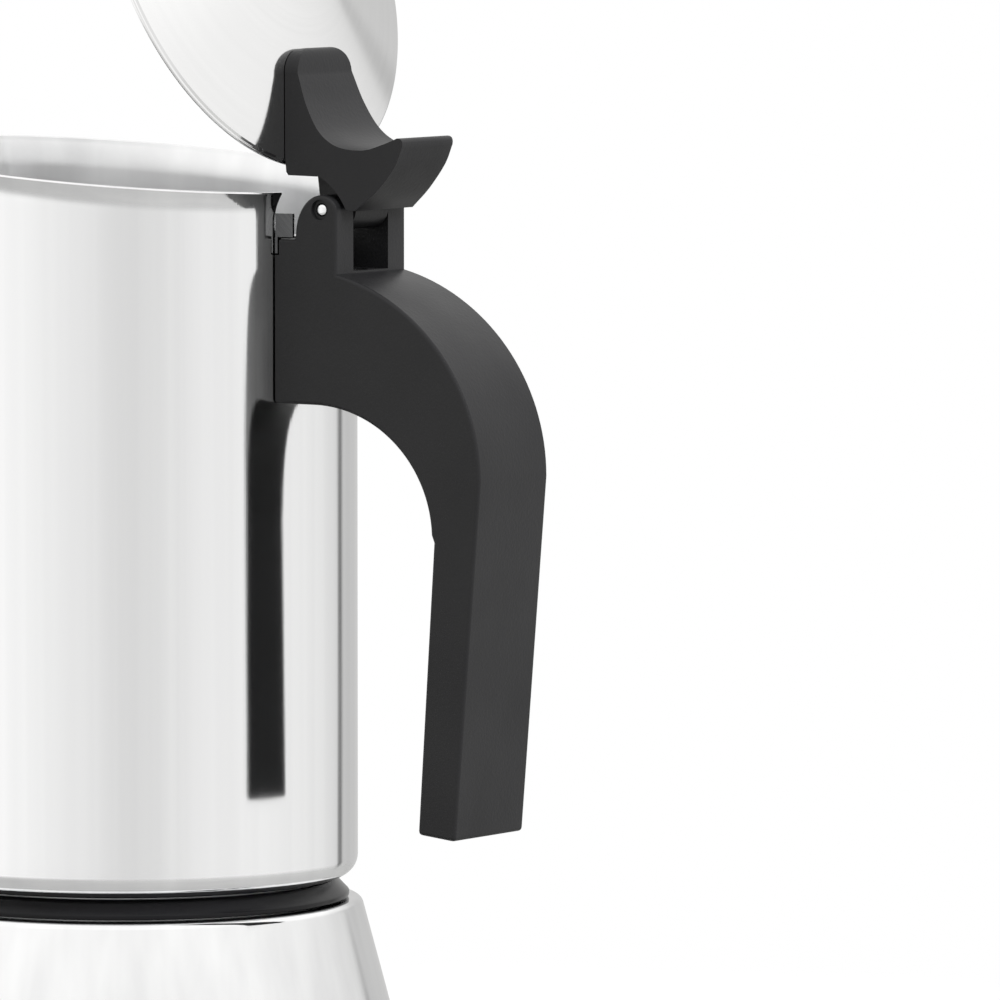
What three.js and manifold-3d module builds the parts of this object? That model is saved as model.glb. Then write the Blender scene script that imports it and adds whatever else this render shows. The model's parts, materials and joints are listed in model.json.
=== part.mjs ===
// A stove-top moka pot: a conical boiler, a coffee funnel, a tall cylindrical collector with a
// nested conical lid, and a black moulded handle. Millimetres, +Z up, the handle towards +X and
// the spout towards -X. The origin is the centre of the boiler's underside, and the lid is open.
import * as THREE from "three";
import { mergeVertices } from "three/addons/utils/BufferGeometryUtils.js";
import Module from "manifold-3d";

const wasm = await Module();
wasm.setup();

// ---- driving dimensions ----
const gap = 0.3; // clearance between neighbouring pieces
const sheet = 0.6; // thickness of the drawn steel sheet

const cone = { baseRadius: 58.6, slope: 0.261, floorZ: 2.9, topZ: 65.9, wall: 0.8, cornerRadius: 6, shoulder: 1.4 };
const baseDisc = { radius: 51, thickness: 2.6, chamfer: 0.6 };
const neck = { inner: 33, outer: 35.2, flangeRadius: 38.5, bottomZ: 63.9, flange: 0.9, topZ: 76.5 };
const thread = { pitch: 3, width: 1.5, sunk: 0.4, crest: 36.5, startZ: 71.6, startTurn: 0.01, turns: 1.3 };
const jointRing = { inner: 35.6, bottomRadius: 38.8, topRadius: 36.4, height: 3.3 };

const body = { radius: 40.3, bottomZ: 69.8, cornerRadius: 3.7, rimZ: 193.5 };
const rim = { tilt: THREE.MathUtils.degToRad(5.1), flare: 1.5, flareHeight: 5.2, bendLevels: [150, 166, 178], bendTo: 184 };
const spout = { reach: 10, lift: 2, halfAngle: THREE.MathUtils.degToRad(24), height: 34, power: 1.6 };
const rimNotch = { halfWidth: 10.2, bottomZ: 182.5 };
const collar = { inner: 36.9, crest: 35.6, outer: 39.3, bottomZ: 70.8, topZ: 81 };
const floor = { bottomZ: 81.3, hubRadius: 9, hubRise: 3 };
const riser = { footRadius: 8.4, radius: 4.4, wall: 0.8, topZ: 158 };
const riserCap = { radius: 6.4, bottomZ: 155, topZ: 168, slotWidth: 4.4, slotHeight: 7 };

const gasket = { inner: 27.4, outer: 35.2, bottomZ: 77.7, height: 2.2 };
const filterPlate = { radius: 30, thickness: 0.6, dimple: 7, dimpleDepth: 0.8, holeRadius: 0.8, holes: [[6, 13], [12, 21]] };
const basket = { radius: 32.6, rimRadius: 34.9, rimZ: 76.8, floorZ: 57, coneDrop: 7 };
const funnelTube = { radius: 4, wall: 0.5, bottomZ: 8, lip: 3 };
const basketFilter = { radius: 31.4, thickness: 0.5, bottomZ: 57.6, holeRadius: 0.9, holes: [[6, 9], [12, 20]] };

const pin = { x: 48.5, z: 187.1, radius: 1.07, halfLength: 10.15, bore: 1.15, recessRadius: 1.6, recessDepth: 0.6 };
const lid = { radius: 39.4, inset: 7, coneAngle: THREE.MathUtils.degToRad(16), flatRadius: 15, bead: 0.55 };
const lidOpening = THREE.MathUtils.degToRad(64.5);
const lever = { halfWidth: 9.6, topHalfWidth: 6.6, tipHalfWidth: 7.4, footRadius: 37.8, footLength: 18.4 };
const leverHub = { halfWidth: 4.85, radius: 3.6, screwHole: 1.55 };
const leverScrew = { places: [33.6, 25.6], shank: 1.25, head: 2.4, headHeight: 0.9, reach: 2 };

const ears = { halfWidth: 10.45, gapHalfWidth: 5.2, frontX: 43.3, backX: 51.8, topZ: 189.6, shoulderZ: 182, gapFloorZ: 178.4 };
const arm = { rootX: 38, rootBottomZ: 153.9, archX: 47, archZ: 132, archReach: 24.2, backX: 42.5, backRise: 35.3 };
const grip = { tipZ: 81, tipInnerX: 68.5, tipOuterX: 76, outerX: 81.1, outerZ: 142, kneeX: 71.7, kneeZ: 131.5, edge: 1.6 };
const strap = { inner: 40.6, outer: 41.1, halfWidth: 8.9, bottomZ: 156.5, bandZ: 179.5, topZ: 182.2 };
const strapHorn = { startX: 39.3, endX: 42.9, y: 10.2, topZ: 186.3 };
const tongue = { z: 166, thickness: 1.2, halfWidth: 5, endX: 52, screwX: 47 };
const handleScrew = { shank: 1.9, head: 3.1, headTopZ: 176.4, headHeight: 2.2, bottomZ: 161.6 };
const handleNut = { radius: 3.6, height: 2.6 };

const valve = { z: 38, radius: 4, hexRadius: 6.2, bore: 2.9, orifice: 1.4, outerEnd: 6.4, innerEnd: -8, seat: -5 };
const plunger = { stem: 0.8, end: 9.4, plateTop: -3.8, guide: 1.1 };
const spring = { radius: 1.75, wire: 0.25, start: -2.6, end: 4.4, turns: 6 };

// ---- materials ----
const look = (color, roughness, metalness) => new THREE.MeshStandardMaterial({ color, roughness, metalness });
const polishedSteel = look(0xd4d6d8, 0.12, 1);
const satinSteel = look(0xb8babc, 0.35, 1);
const blackPlastic = look(0x2b2b2d, 0.48, 0);
const blackRubber = look(0x101012, 0.4, 0);
const silicone = look(0xe6e2d8, 0.6, 0);
const brass = look(0xb8963c, 0.3, 1);

// ---- helpers ----
const root = new THREE.Group();
const at = (x, y) => new THREE.Vector2(x, y);

function addMesh(name, geometry, material, parent = root) {
  const mesh = new THREE.Mesh(geometry, material);
  mesh.name = name;
  parent.add(mesh);
  return mesh;
}

// Points of an elliptical arc, angles in degrees.
function arcPoints(x, y, radiusX, radiusY, from, to, steps) {
  const curve = new THREE.EllipseCurve(x, y, radiusX, radiusY, ...[from, to].map(THREE.MathUtils.degToRad), to < from);
  return curve.getPoints(steps);
}

// Turns a profile of (radius, height) points about the Z axis.
function revolve(profile, segments) {
  const onAxis = profile[0].x === 0;
  const points = onAxis ? profile : [...profile, profile[0].clone()];
  return new THREE.LatheGeometry(points, segments).rotateX(Math.PI / 2);
}

// A plain disc, ring or rod between two heights.
function ring(inner, outer, bottomZ, topZ, segments) {
  const outline = [at(outer, bottomZ), at(outer, topZ)];
  const profile = inner > 0
    ? [at(inner, bottomZ), ...outline, at(inner, topZ)]
    : [at(0, bottomZ), ...outline, at(0, topZ)];
  return revolve(profile, segments);
}

function box(x0, x1, halfY, z0, z1) {
  return new THREE.BoxGeometry(x1 - x0, 2 * halfY, z1 - z0).translate((x0 + x1) / 2, 0, (z0 + z1) / 2);
}

// Extrudes a side outline drawn in X and Z to both sides of the Y = 0 plane.
function extrudeSideways(shape, halfWidth, edgeRadius, curveSegments = 8) {
  const geometry = new THREE.ExtrudeGeometry(shape, {
    depth: 2 * (halfWidth - edgeRadius),
    bevelEnabled: edgeRadius > 0,
    bevelThickness: edgeRadius,
    bevelSize: edgeRadius,
    bevelOffset: -edgeRadius,
    bevelSegments: 2,
    curveSegments,
  });
  return geometry.translate(0, 0, edgeRadius - halfWidth).rotateX(Math.PI / 2);
}

function hexPrism(radius, z0, z1) {
  return new THREE.CylinderGeometry(radius, radius, z1 - z0, 6).rotateX(Math.PI / 2).translate(0, 0, (z0 + z1) / 2);
}

function toSolid(geometry) {
  const bare = geometry.clone();
  bare.deleteAttribute("normal");
  bare.deleteAttribute("uv");
  const merged = mergeVertices(bare, 1e-4);
  const triVerts = new Uint32Array(merged.index.array);
  const mesh = new wasm.Mesh({ numProp: 3, vertProperties: merged.attributes.position.array, triVerts });
  return new wasm.Manifold(mesh);
}

function toGeometry(solid) {
  const { vertProperties, triVerts } = solid.getMesh();
  const geometry = new THREE.BufferGeometry();
  geometry.setAttribute("position", new THREE.BufferAttribute(new Float32Array(vertProperties), 3));
  geometry.setIndex([...triVerts]);
  geometry.computeVertexNormals();
  return geometry;
}

function cut(geometry, ...tools) {
  return toGeometry(tools.reduce((solid, tool) => solid.subtract(toSolid(tool)), toSolid(geometry)));
}

function join(geometry, ...others) {
  return toGeometry(others.reduce((solid, other) => solid.add(toSolid(other)), toSolid(geometry)));
}

// Moves each vertex of a geometry by a function of its position.
function displace(geometry, move) {
  const position = geometry.attributes.position;
  const point = new THREE.Vector3();
  for (let i = 0; i < position.count; i += 1) {
    move(point.fromBufferAttribute(position, i));
    position.setXYZ(i, point.x, point.y, point.z);
  }
  return geometry;
}

// A screw thread's ridge: a straight tapered bar, bent round into a right-handed helix. It grows
// from the root radius to the crest radius, outwards or inwards.
function helicalRidge(rootRadius, crestRadius, startZ, startTurn, turns) {
  const { width, sunk, pitch } = thread;
  const height = Math.abs(crestRadius - rootRadius) + sunk;
  const outwards = Math.sign(crestRadius - rootRadius);
  const section = new THREE.Shape([at(0, -width / 2), at(height, -0.15), at(height, 0.15), at(0, width / 2)]);
  const bar = new THREE.ExtrudeGeometry(section, { depth: turns, steps: Math.round(turns * 22), bevelEnabled: false });
  const bent = displace(bar, (p) => {
    const angle = (startTurn + p.z) * 2 * Math.PI;
    const radius = rootRadius + outwards * (p.x - sunk);
    p.set(radius * Math.cos(angle), radius * Math.sin(angle), startZ + p.y + p.z * pitch);
  });
  return outwards > 0 ? turnInsideOut(bent) : bent;
}

function turnInsideOut(geometry) {
  const position = geometry.attributes.position;
  const [a, c] = [new THREE.Vector3(), new THREE.Vector3()];
  for (let i = 0; i < position.count; i += 3) {
    a.fromBufferAttribute(position, i);
    c.fromBufferAttribute(position, i + 2);
    position.setXYZ(i, c.x, c.y, c.z);
    position.setXYZ(i + 2, a.x, a.y, a.z);
  }
  return geometry;
}

const coneRadius = (z) => cone.baseRadius - cone.slope * z;
const coneTilt = Math.atan(cone.slope);

// ---- boiler ----
function makeBoilerShell() {
  const wallOffset = cone.wall / Math.cos(coneTilt);
  const corner = THREE.MathUtils.radToDeg(coneTilt);
  const bend = cone.cornerRadius;
  const bendZ = cone.floorZ + bend;
  const bendX = coneRadius(bendZ) - bend / Math.cos(coneTilt) + 0.001;
  const shoulderX = coneRadius(cone.topZ) - cone.shoulder;
  const profile = [
    at(0, cone.floorZ),
    ...arcPoints(bendX, bendZ, bend, bend, -90, corner, 4),
    ...arcPoints(shoulderX, cone.topZ - cone.shoulder, cone.shoulder, cone.shoulder, corner, 90, 3),
    at(neck.outer + gap, cone.topZ),
    at(neck.outer + gap, cone.topZ - cone.wall),
    at(shoulderX, cone.topZ - cone.wall),
    at(coneRadius(cone.topZ - cone.shoulder) - wallOffset, cone.topZ - 2 * cone.wall),
    ...arcPoints(bendX, bendZ, bend - cone.wall, bend - cone.wall, corner, -90, 4),
    at(0, cone.floorZ + cone.wall),
  ];
  const shell = revolve(profile, 48);
  const hole = new THREE.CylinderGeometry(valve.radius + gap, valve.radius + gap, 8, 20);
  const placed = hole.rotateX(Math.PI / 2).applyMatrix4(valveGroup.matrix);
  return cut(shell, placed);
}

function makeBaseDisc() {
  const { radius, thickness, chamfer } = baseDisc;
  const profile = [
    at(0, 0),
    at(radius - chamfer, 0),
    at(radius, chamfer),
    at(radius, thickness - chamfer),
    at(radius - chamfer, thickness),
    at(0, thickness),
  ];
  return revolve(profile, 64);
}

function makeNeck() {
  const profile = [
    at(neck.inner, neck.bottomZ),
    at(neck.flangeRadius, neck.bottomZ),
    at(neck.flangeRadius, neck.bottomZ + neck.flange),
    at(neck.outer, neck.bottomZ + neck.flange),
    at(neck.outer, neck.topZ),
    at(neck.inner, neck.topZ),
  ];
  return join(revolve(profile, 42), helicalRidge(neck.outer, thread.crest, thread.startZ, thread.startTurn, thread.turns));
}

function makeJointRing() {
  const bottomZ = cone.topZ + gap;
  const topZ = bottomZ + jointRing.height;
  const profile = [
    at(jointRing.inner, bottomZ),
    at(jointRing.bottomRadius, bottomZ),
    at(jointRing.bottomRadius, bottomZ + 0.5),
    at(jointRing.topRadius, topZ),
    at(jointRing.inner, topZ),
  ];
  return revolve(profile, 64);
}

// ---- safety valve, drawn along its own Z axis with the boiler's outer skin at 0 ----
const valveGroup = new THREE.Group();
valveGroup.position.set(0, coneRadius(valve.z), valve.z);
valveGroup.rotation.x = coneTilt - Math.PI / 2;
valveGroup.updateMatrix();
root.add(valveGroup);

function makeValveBody() {
  const { radius, hexRadius, bore, orifice, outerEnd, innerEnd, seat } = valve;
  const blank = join(hexPrism(hexRadius, 1.7, outerEnd), ring(0, radius, innerEnd, 2, 24));
  return cut(blank, ring(0, bore, seat, outerEnd + 1, 20), ring(0, orifice, innerEnd - 1, seat + 1, 16));
}

function makeValveNut() {
  return cut(hexPrism(valve.hexRadius + 0.4, -5, -1.7), ring(0, valve.radius + gap, -6, 0, 24));
}

function makeValveCap() {
  const { radius, bore, outerEnd } = valve;
  const profile = [
    at(plunger.guide, outerEnd - 1.5),
    at(bore - gap, outerEnd - 1.5),
    at(bore - gap, outerEnd + gap),
    at(radius, outerEnd + gap),
    at(radius, outerEnd + 1.2),
    at(plunger.guide, outerEnd + 1.2),
  ];
  return revolve(profile, 24);
}

function makePlunger() {
  const { stem, end, plateTop } = plunger;
  const plate = valve.bore - 0.5;
  const profile = [
    at(0, valve.seat + gap),
    at(plate, valve.seat + gap),
    at(plate, plateTop),
    at(stem, plateTop),
    at(stem, end - stem / 2),
    at(stem / 2, end),
    at(0, end),
  ];
  return revolve(profile, 20);
}

class Helix extends THREE.Curve {
  getPoint(t, target = new THREE.Vector3()) {
    const angle = t * spring.turns * 2 * Math.PI;
    const z = THREE.MathUtils.lerp(spring.start, spring.end, t);
    return target.set(spring.radius * Math.cos(angle), spring.radius * Math.sin(angle), z);
  }
}

function makeSpring() {
  const wire = new THREE.Shape(arcPoints(0, 0, spring.wire, spring.wire, 0, 288, 4));
  return new THREE.ExtrudeGeometry(wire, { extrudePath: new Helix(), steps: spring.turns * 8, bevelEnabled: false });
}

// ---- coffee funnel ----
function makeBasket() {
  const { radius, rimRadius, rimZ, floorZ, coneDrop } = basket;
  const throat = funnelTube.radius + gap;
  const profile = [
    at(throat, floorZ - coneDrop),
    at(radius, floorZ),
    at(radius, rimZ),
    at(rimRadius, rimZ),
    at(rimRadius, rimZ + sheet),
    at(radius - sheet, rimZ + sheet),
    at(radius - sheet, floorZ + 0.4),
    at(throat, floorZ - coneDrop + sheet),
  ];
  return revolve(profile, 44);
}

// Height of the basket's inner cone at a radius.
function basketConeZ(radius) {
  const throat = funnelTube.radius + gap;
  const bottomZ = basket.floorZ - basket.coneDrop + sheet;
  const rise = basket.coneDrop + 0.4 - sheet;
  return bottomZ + (rise * (radius - throat)) / (basket.radius - sheet - throat);
}

function makeFunnelTube() {
  const outer = funnelTube.radius;
  const inner = outer - funnelTube.wall;
  const lip = outer + funnelTube.lip;
  const profile = [
    at(inner, funnelTube.bottomZ),
    at(outer, funnelTube.bottomZ),
    at(outer, basketConeZ(outer) + gap + 0.1),
    at(lip, basketConeZ(lip) + gap),
    at(lip, basketConeZ(lip) + gap + sheet),
    at(inner, basketConeZ(outer) + gap + sheet),
  ];
  return revolve(profile, 28);
}

// A disc pierced by rings of small round holes.
function perforate(disc, { holeRadius, holes }, z) {
  const drills = [];
  for (const [count, radius] of holes) {
    for (let i = 0; i < count; i += 1) {
      const angle = (i / count) * 2 * Math.PI;
      const drill = new THREE.CylinderGeometry(holeRadius, holeRadius, 6, 6).rotateX(Math.PI / 2);
      drills.push(drill.translate(radius * Math.cos(angle), radius * Math.sin(angle), z));
    }
  }
  return cut(disc, ...drills);
}

function makeBasketFilter() {
  const { radius, thickness, bottomZ } = basketFilter;
  return perforate(ring(0, radius, bottomZ, bottomZ + thickness, 36), basketFilter, bottomZ);
}

// ---- seal between the two halves ----
function makeGasket() {
  const { inner, outer, bottomZ, height } = gasket;
  const round = 0.5;
  const profile = [
    at(inner, bottomZ),
    at(outer - round, bottomZ),
    at(outer, bottomZ + round),
    at(outer, bottomZ + height - round),
    at(outer - round, bottomZ + height),
    at(inner, bottomZ + height),
  ];
  return revolve(profile, 44);
}

function makeFilterPlate() {
  const { radius, thickness, dimple, dimpleDepth } = filterPlate;
  const z = gasket.bottomZ + gasket.height + gap;
  const profile = [
    at(0, z - dimpleDepth),
    at(dimple, z - dimpleDepth),
    at(dimple + 2, z),
    at(radius, z),
    at(radius, z + thickness),
    at(dimple + 1.6, z + thickness),
    at(dimple - 0.4, z + thickness - dimpleDepth),
    at(0, z + thickness - dimpleDepth),
  ];
  return perforate(revolve(profile, 36), filterPlate, z);
}

// ---- collector ----
const smooth = (value, from, to) => THREE.MathUtils.smoothstep(value, from, to);

// Tilts the upper wall so that the mouth rises towards the spout, and presses the spout out.
function shapeMouth(point) {
  const radius = Math.hypot(point.x, point.y);
  const angle = Math.atan2(point.y, -point.x);
  const across = Math.min(Math.abs(angle) / spout.halfAngle, 1);
  const rise = Math.max(0, 1 - (body.rimZ - point.z) / spout.height);
  const push = Math.cos((across * Math.PI) / 2) ** 2 * rise ** spout.power;
  const bend = smooth(point.z, rim.bendLevels[0], rim.bendTo);
  point.z += spout.lift * push - bend * Math.tan(rim.tilt) * point.x;
  point.x *= 1 + (spout.reach * push) / radius;
  point.y *= 1 + (spout.reach * push) / radius;
}

function makeCollectorBody() {
  const { radius, bottomZ, cornerRadius, rimZ } = body;
  const innerCorner = cornerRadius - sheet;
  const cornerX = radius - cornerRadius;
  const cornerZ = bottomZ + cornerRadius;
  const flareZ = rimZ - rim.flareHeight;
  const flareOut = (t) => at(radius + rim.flare * t * t, flareZ + rim.flareHeight * t);
  const flareIn = (t) => at(radius - sheet + rim.flare * t * t, flareZ + rim.flareHeight * t);
  const profile = [
    ...arcPoints(cornerX, cornerZ, cornerRadius, cornerRadius, -90, 0, 3),
    ...rim.bendLevels.map((z) => at(radius, z)),
    flareOut(0),
    flareOut(0.6),
    flareOut(1),
    flareIn(1),
    flareIn(0.6),
    flareIn(0),
    ...rim.bendLevels.map((z) => at(radius - sheet, z)).reverse(),
    ...arcPoints(cornerX, cornerZ, innerCorner, innerCorner, 0, -90, 3),
  ];
  const wall = displace(revolve(profile, 64), shapeMouth);
  return cut(wall, box(radius - 6, radius + 6, rimNotch.halfWidth, rimNotch.bottomZ, rimZ + 10));
}

function makeThreadCollar() {
  const { inner, crest, outer, bottomZ, topZ } = collar;
  const profile = [
    at(inner, bottomZ),
    at(outer - 1.9, bottomZ),
    at(outer, bottomZ + 2.8),
    at(outer, topZ),
    at(inner, topZ),
  ];
  return join(revolve(profile, 42), helicalRidge(inner, crest, thread.startZ, thread.startTurn + 0.5, 1.2));
}

function makeCollectorFloor() {
  const { bottomZ, hubRadius, hubRise } = floor;
  const bore = riser.radius + gap + 0.6;
  const profile = [
    at(bore, bottomZ + hubRise),
    at(hubRadius + 4, bottomZ),
    at(collar.outer, bottomZ),
    at(collar.outer, bottomZ + sheet),
    at(hubRadius + 4.2, bottomZ + sheet),
    at(bore, bottomZ + hubRise + sheet),
  ];
  return revolve(profile, 44);
}

function makeRiser() {
  const { footRadius, radius, wall, topZ } = riser;
  const footZ = floor.bottomZ + floor.hubRise + 1.2;
  const profile = [
    at(footRadius - 2.2, footZ + 0.6),
    at(footRadius - 1, footZ),
    at(footRadius, footZ),
    at(radius + 1.2, footZ + 7),
    at(radius, footZ + 24),
    at(radius, topZ),
    at(radius - wall, topZ),
    at(radius - wall, footZ + 24),
    at(radius + 1.2 - wall, footZ + 7),
  ];
  return revolve(profile, 28);
}

function makeRiserCap() {
  const { radius, bottomZ, topZ, slotWidth, slotHeight } = riserCap;
  const inner = riser.radius + gap;
  const profile = [
    at(0, topZ - 1.2),
    at(inner, topZ - 2.6),
    at(inner, bottomZ),
    at(radius, bottomZ),
    at(radius, topZ - 2.5),
    at(radius - 1.2, topZ - 0.6),
    at(0, topZ),
  ];
  const slotBottom = riser.topZ + 1;
  return cut(revolve(profile, 28), box(-20, 20, slotWidth / 2, slotBottom, slotBottom + slotHeight));
}

// ---- handle ----
function makeStrap() {
  const { inner, outer, halfWidth, bottomZ, bandZ, topZ } = strap;
  const { startX, endX } = strapHorn;
  const thickness = outer - inner;
  const plate = toSolid(box(0, outer + 1, halfWidth, bottomZ, topZ));
  const band = toSolid(box(0, outer + 1, strapHorn.y + thickness / 2, bandZ, topZ));
  const curved = toSolid(ring(inner, outer, bottomZ - 1, topZ + 1, 72)).intersect(plate.add(band));
  const tongueBox = box(inner, tongue.endX, tongue.halfWidth, tongue.z, tongue.z + tongue.thickness);
  const hornFoot = ears.shoulderZ + gap;
  let solid = curved.add(toSolid(tongueBox));
  for (const side of [-1, 1]) {
    const y = side * strapHorn.y;
    const horn = new THREE.BoxGeometry(endX - startX, thickness, strapHorn.topZ - hornFoot);
    const link = new THREE.BoxGeometry(0.45, thickness, 3);
    solid = solid.add(toSolid(horn.translate((endX + startX) / 2, y, (strapHorn.topZ + hornFoot) / 2)));
    solid = solid.add(toSolid(link.translate(startX + 0.22, y, topZ)));
  }
  const bore = ring(0, inner, bottomZ - 2, strapHorn.topZ + 2, 72);
  const screwHole = ring(0, handleScrew.shank + gap, tongue.z - 2, tongue.z + 3, 16).translate(tongue.screwX, 0, 0);
  return toGeometry(solid.subtract(toSolid(bore)).subtract(toSolid(screwHole)));
}

// The side view of the arm and grip: root, inner arch, knee, tip, outer line and the rounded back.
function handleOutline() {
  const outline = new THREE.Shape();
  outline.moveTo(arm.rootX, arm.rootBottomZ);
  outline.lineTo(arm.archX, arm.rootBottomZ);
  const archHeight = arm.rootBottomZ - arm.archZ;
  outline.absellipse(arm.archX, arm.archZ, arm.archReach, archHeight, Math.PI / 2, 0.04, true);
  outline.lineTo(grip.kneeX, grip.kneeZ);
  outline.lineTo(grip.tipInnerX, grip.tipZ + 0.8);
  outline.lineTo(grip.tipOuterX, grip.tipZ);
  outline.lineTo(grip.outerX, grip.outerZ);
  outline.absellipse(arm.backX, grip.outerZ, grip.outerX - arm.backX, arm.backRise, 0, Math.PI * 0.45, false);
  outline.lineTo(arm.rootX, grip.outerZ + arm.backRise);
  return outline;
}

function earOutline() {
  const { frontX, backX, topZ, shoulderZ } = ears;
  const outline = new THREE.Shape();
  outline.moveTo(arm.rootX, strap.bottomZ);
  outline.lineTo(backX, strap.bottomZ);
  outline.lineTo(backX, pin.z);
  outline.absellipse(pin.x, pin.z, backX - pin.x, topZ - pin.z, 0, Math.PI / 2, false);
  outline.absellipse(pin.x, shoulderZ + 0.6, pin.x - frontX, topZ - shoulderZ - 0.6, Math.PI / 2, Math.PI, false);
  outline.lineTo(frontX, shoulderZ);
  outline.lineTo(arm.rootX, shoulderZ);
  return outline;
}

// Everything the moulding leaves room for: the lid's hub, pin, screw, nut, tongue and strap.
function handleCutters() {
  const { gapHalfWidth, gapFloorZ, halfWidth } = ears;
  const { z, thickness, screwX } = tongue;
  const startX = arm.rootX - 2;
  const aboveZ = 200;
  const hubRoom = box(startX, 60, gapHalfWidth, gapFloorZ, aboveZ);
  const slot = box(startX, tongue.endX + 2 * gap, tongue.halfWidth + gap, z - gap, z + thickness + gap);
  const nutRoom = box(startX, screwX + 5, handleNut.radius + gap, z - handleNut.height - 1, z);
  const pinHole = new THREE.CylinderGeometry(pin.bore, pin.bore, 30, 16).translate(pin.x, 0, pin.z);
  const recess = new THREE.CylinderGeometry(pin.recessRadius, pin.recessRadius, 2 * pin.recessDepth, 16);
  const recesses = [-1, 1].map((side) => recess.clone().translate(pin.x, side * halfWidth, pin.z));
  const headSeatZ = handleScrew.headTopZ - handleScrew.headHeight - gap;
  const headRoom = ring(0, handleScrew.head + 0.5, headSeatZ, aboveZ, 20).translate(screwX, 0, 0);
  const screwHole = ring(0, handleScrew.shank + gap, handleScrew.bottomZ - 1.2, aboveZ, 16).translate(screwX, 0, 0);
  const bodySeat = ring(0, body.radius + gap, arm.rootBottomZ - 10, aboveZ, 96);
  const bandSeat = ring(0, strap.outer + gap, strap.bandZ - gap, aboveZ, 96);
  const plateRoom = box(startX, strap.outer + gap + 0.05, strap.halfWidth + gap, strap.bottomZ - gap, aboveZ);
  return [hubRoom, slot, nutRoom, pinHole, ...recesses, headRoom, screwHole, bodySeat, bandSeat, plateRoom];
}

function makeHandle() {
  const armBody = extrudeSideways(handleOutline(), ears.halfWidth, grip.edge, 10);
  const earBlock = extrudeSideways(earOutline(), ears.halfWidth, 0.5, 5);
  return cut(join(armBody, earBlock), ...handleCutters());
}

function makeHandleScrew() {
  const { shank, head, headTopZ, headHeight, bottomZ } = handleScrew;
  const profile = [
    at(0, bottomZ),
    at(shank, bottomZ),
    at(shank, headTopZ - headHeight),
    at(head, headTopZ - headHeight),
    at(head, headTopZ - 0.7),
    at(head - 0.9, headTopZ),
    at(0, headTopZ),
  ];
  const slot = new THREE.BoxGeometry(9, 0.9, 1.6).translate(0, 0, headTopZ);
  return cut(revolve(profile, 20), slot).translate(tongue.screwX, 0, 0);
}

function makeHandleNut() {
  const topZ = tongue.z - gap;
  const nut = hexPrism(handleNut.radius, topZ - handleNut.height + gap, topZ);
  return cut(nut, ring(0, handleScrew.shank + gap, topZ - 6, topZ + 1, 16)).translate(tongue.screwX, 0, 0);
}

function makePin() {
  const { radius, halfLength } = pin;
  const rod = ring(0, radius, -halfLength, halfLength, 20);
  return rod.rotateX(Math.PI / 2).translate(pin.x, 0, pin.z);
}

// ---- lid, drawn closed in its own frame: centre at the origin, rim plane level ----
const hingeGroup = new THREE.Group();
hingeGroup.position.set(pin.x, 0, pin.z);
hingeGroup.rotation.y = lidOpening;
const lidGroup = new THREE.Group();
lidGroup.position.set(-pin.x, 0, body.rimZ - lid.inset / Math.cos(rim.tilt) - pin.z);
lidGroup.rotation.y = rim.tilt;
hingeGroup.add(lidGroup);
root.add(hingeGroup);
root.updateMatrixWorld(true);

// Height of the lid's outer cone above its rim plane.
const lidHeight = (radius) => lid.bead + (lid.radius - lid.bead - radius) * Math.tan(lid.coneAngle);

function makeLid() {
  const { radius, flatRadius, bead } = lid;
  const coneDegrees = THREE.MathUtils.radToDeg(lid.coneAngle);
  const crownRadius = flatRadius / Math.sin(lid.coneAngle);
  const crownZ = lidHeight(flatRadius) - crownRadius * Math.cos(lid.coneAngle);
  const under = sheet / Math.cos(lid.coneAngle);
  const crown = arcPoints(0, crownZ, crownRadius, crownRadius, 90 - coneDegrees, 90, 4);
  crown[crown.length - 1].x = 0;
  const inner = crown.map((p) => at(p.x, p.y - under)).reverse();
  const profile = [
    ...inner,
    at(radius - 2 * bead, lidHeight(radius - 2 * bead) - under),
    at(radius - 1.4 * bead, -bead),
    at(radius - 0.4 * bead, -bead),
    at(radius, 0),
    at(radius - 0.4 * bead, bead),
    at(radius - bead, lidHeight(radius - bead)),
    ...crown,
  ];
  const holes = leverScrew.places.map((place) => screwFrame(ring(0, leverHub.screwHole, -4, 4, 14), place));
  return cut(revolve(profile, 52), ...holes);
}

// Sets a piece drawn along Z square on the lid's cone at a radius towards the hinge.
function screwFrame(geometry, place) {
  return geometry.rotateY(lid.coneAngle).translate(place, 0, lidHeight(place));
}

function makeLeverScrew(place) {
  const { shank, head, headHeight, reach } = leverScrew;
  const headTop = -sheet - gap;
  const profile = [
    at(0, headTop - headHeight),
    at(head - 0.6, headTop - headHeight),
    at(head, headTop - headHeight + 0.5),
    at(head, headTop),
    at(shank, headTop),
    at(shank, reach),
    at(0, reach),
  ];
  return screwFrame(revolve(profile, 16), place);
}

// A point of the open lid's side view, from its place in the lid's own frame.
function onOpenLid(radius, height) {
  const point = new THREE.Vector3(radius, 0, height).applyMatrix4(lidGroup.matrixWorld);
  return at(point.x, point.z);
}

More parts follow.
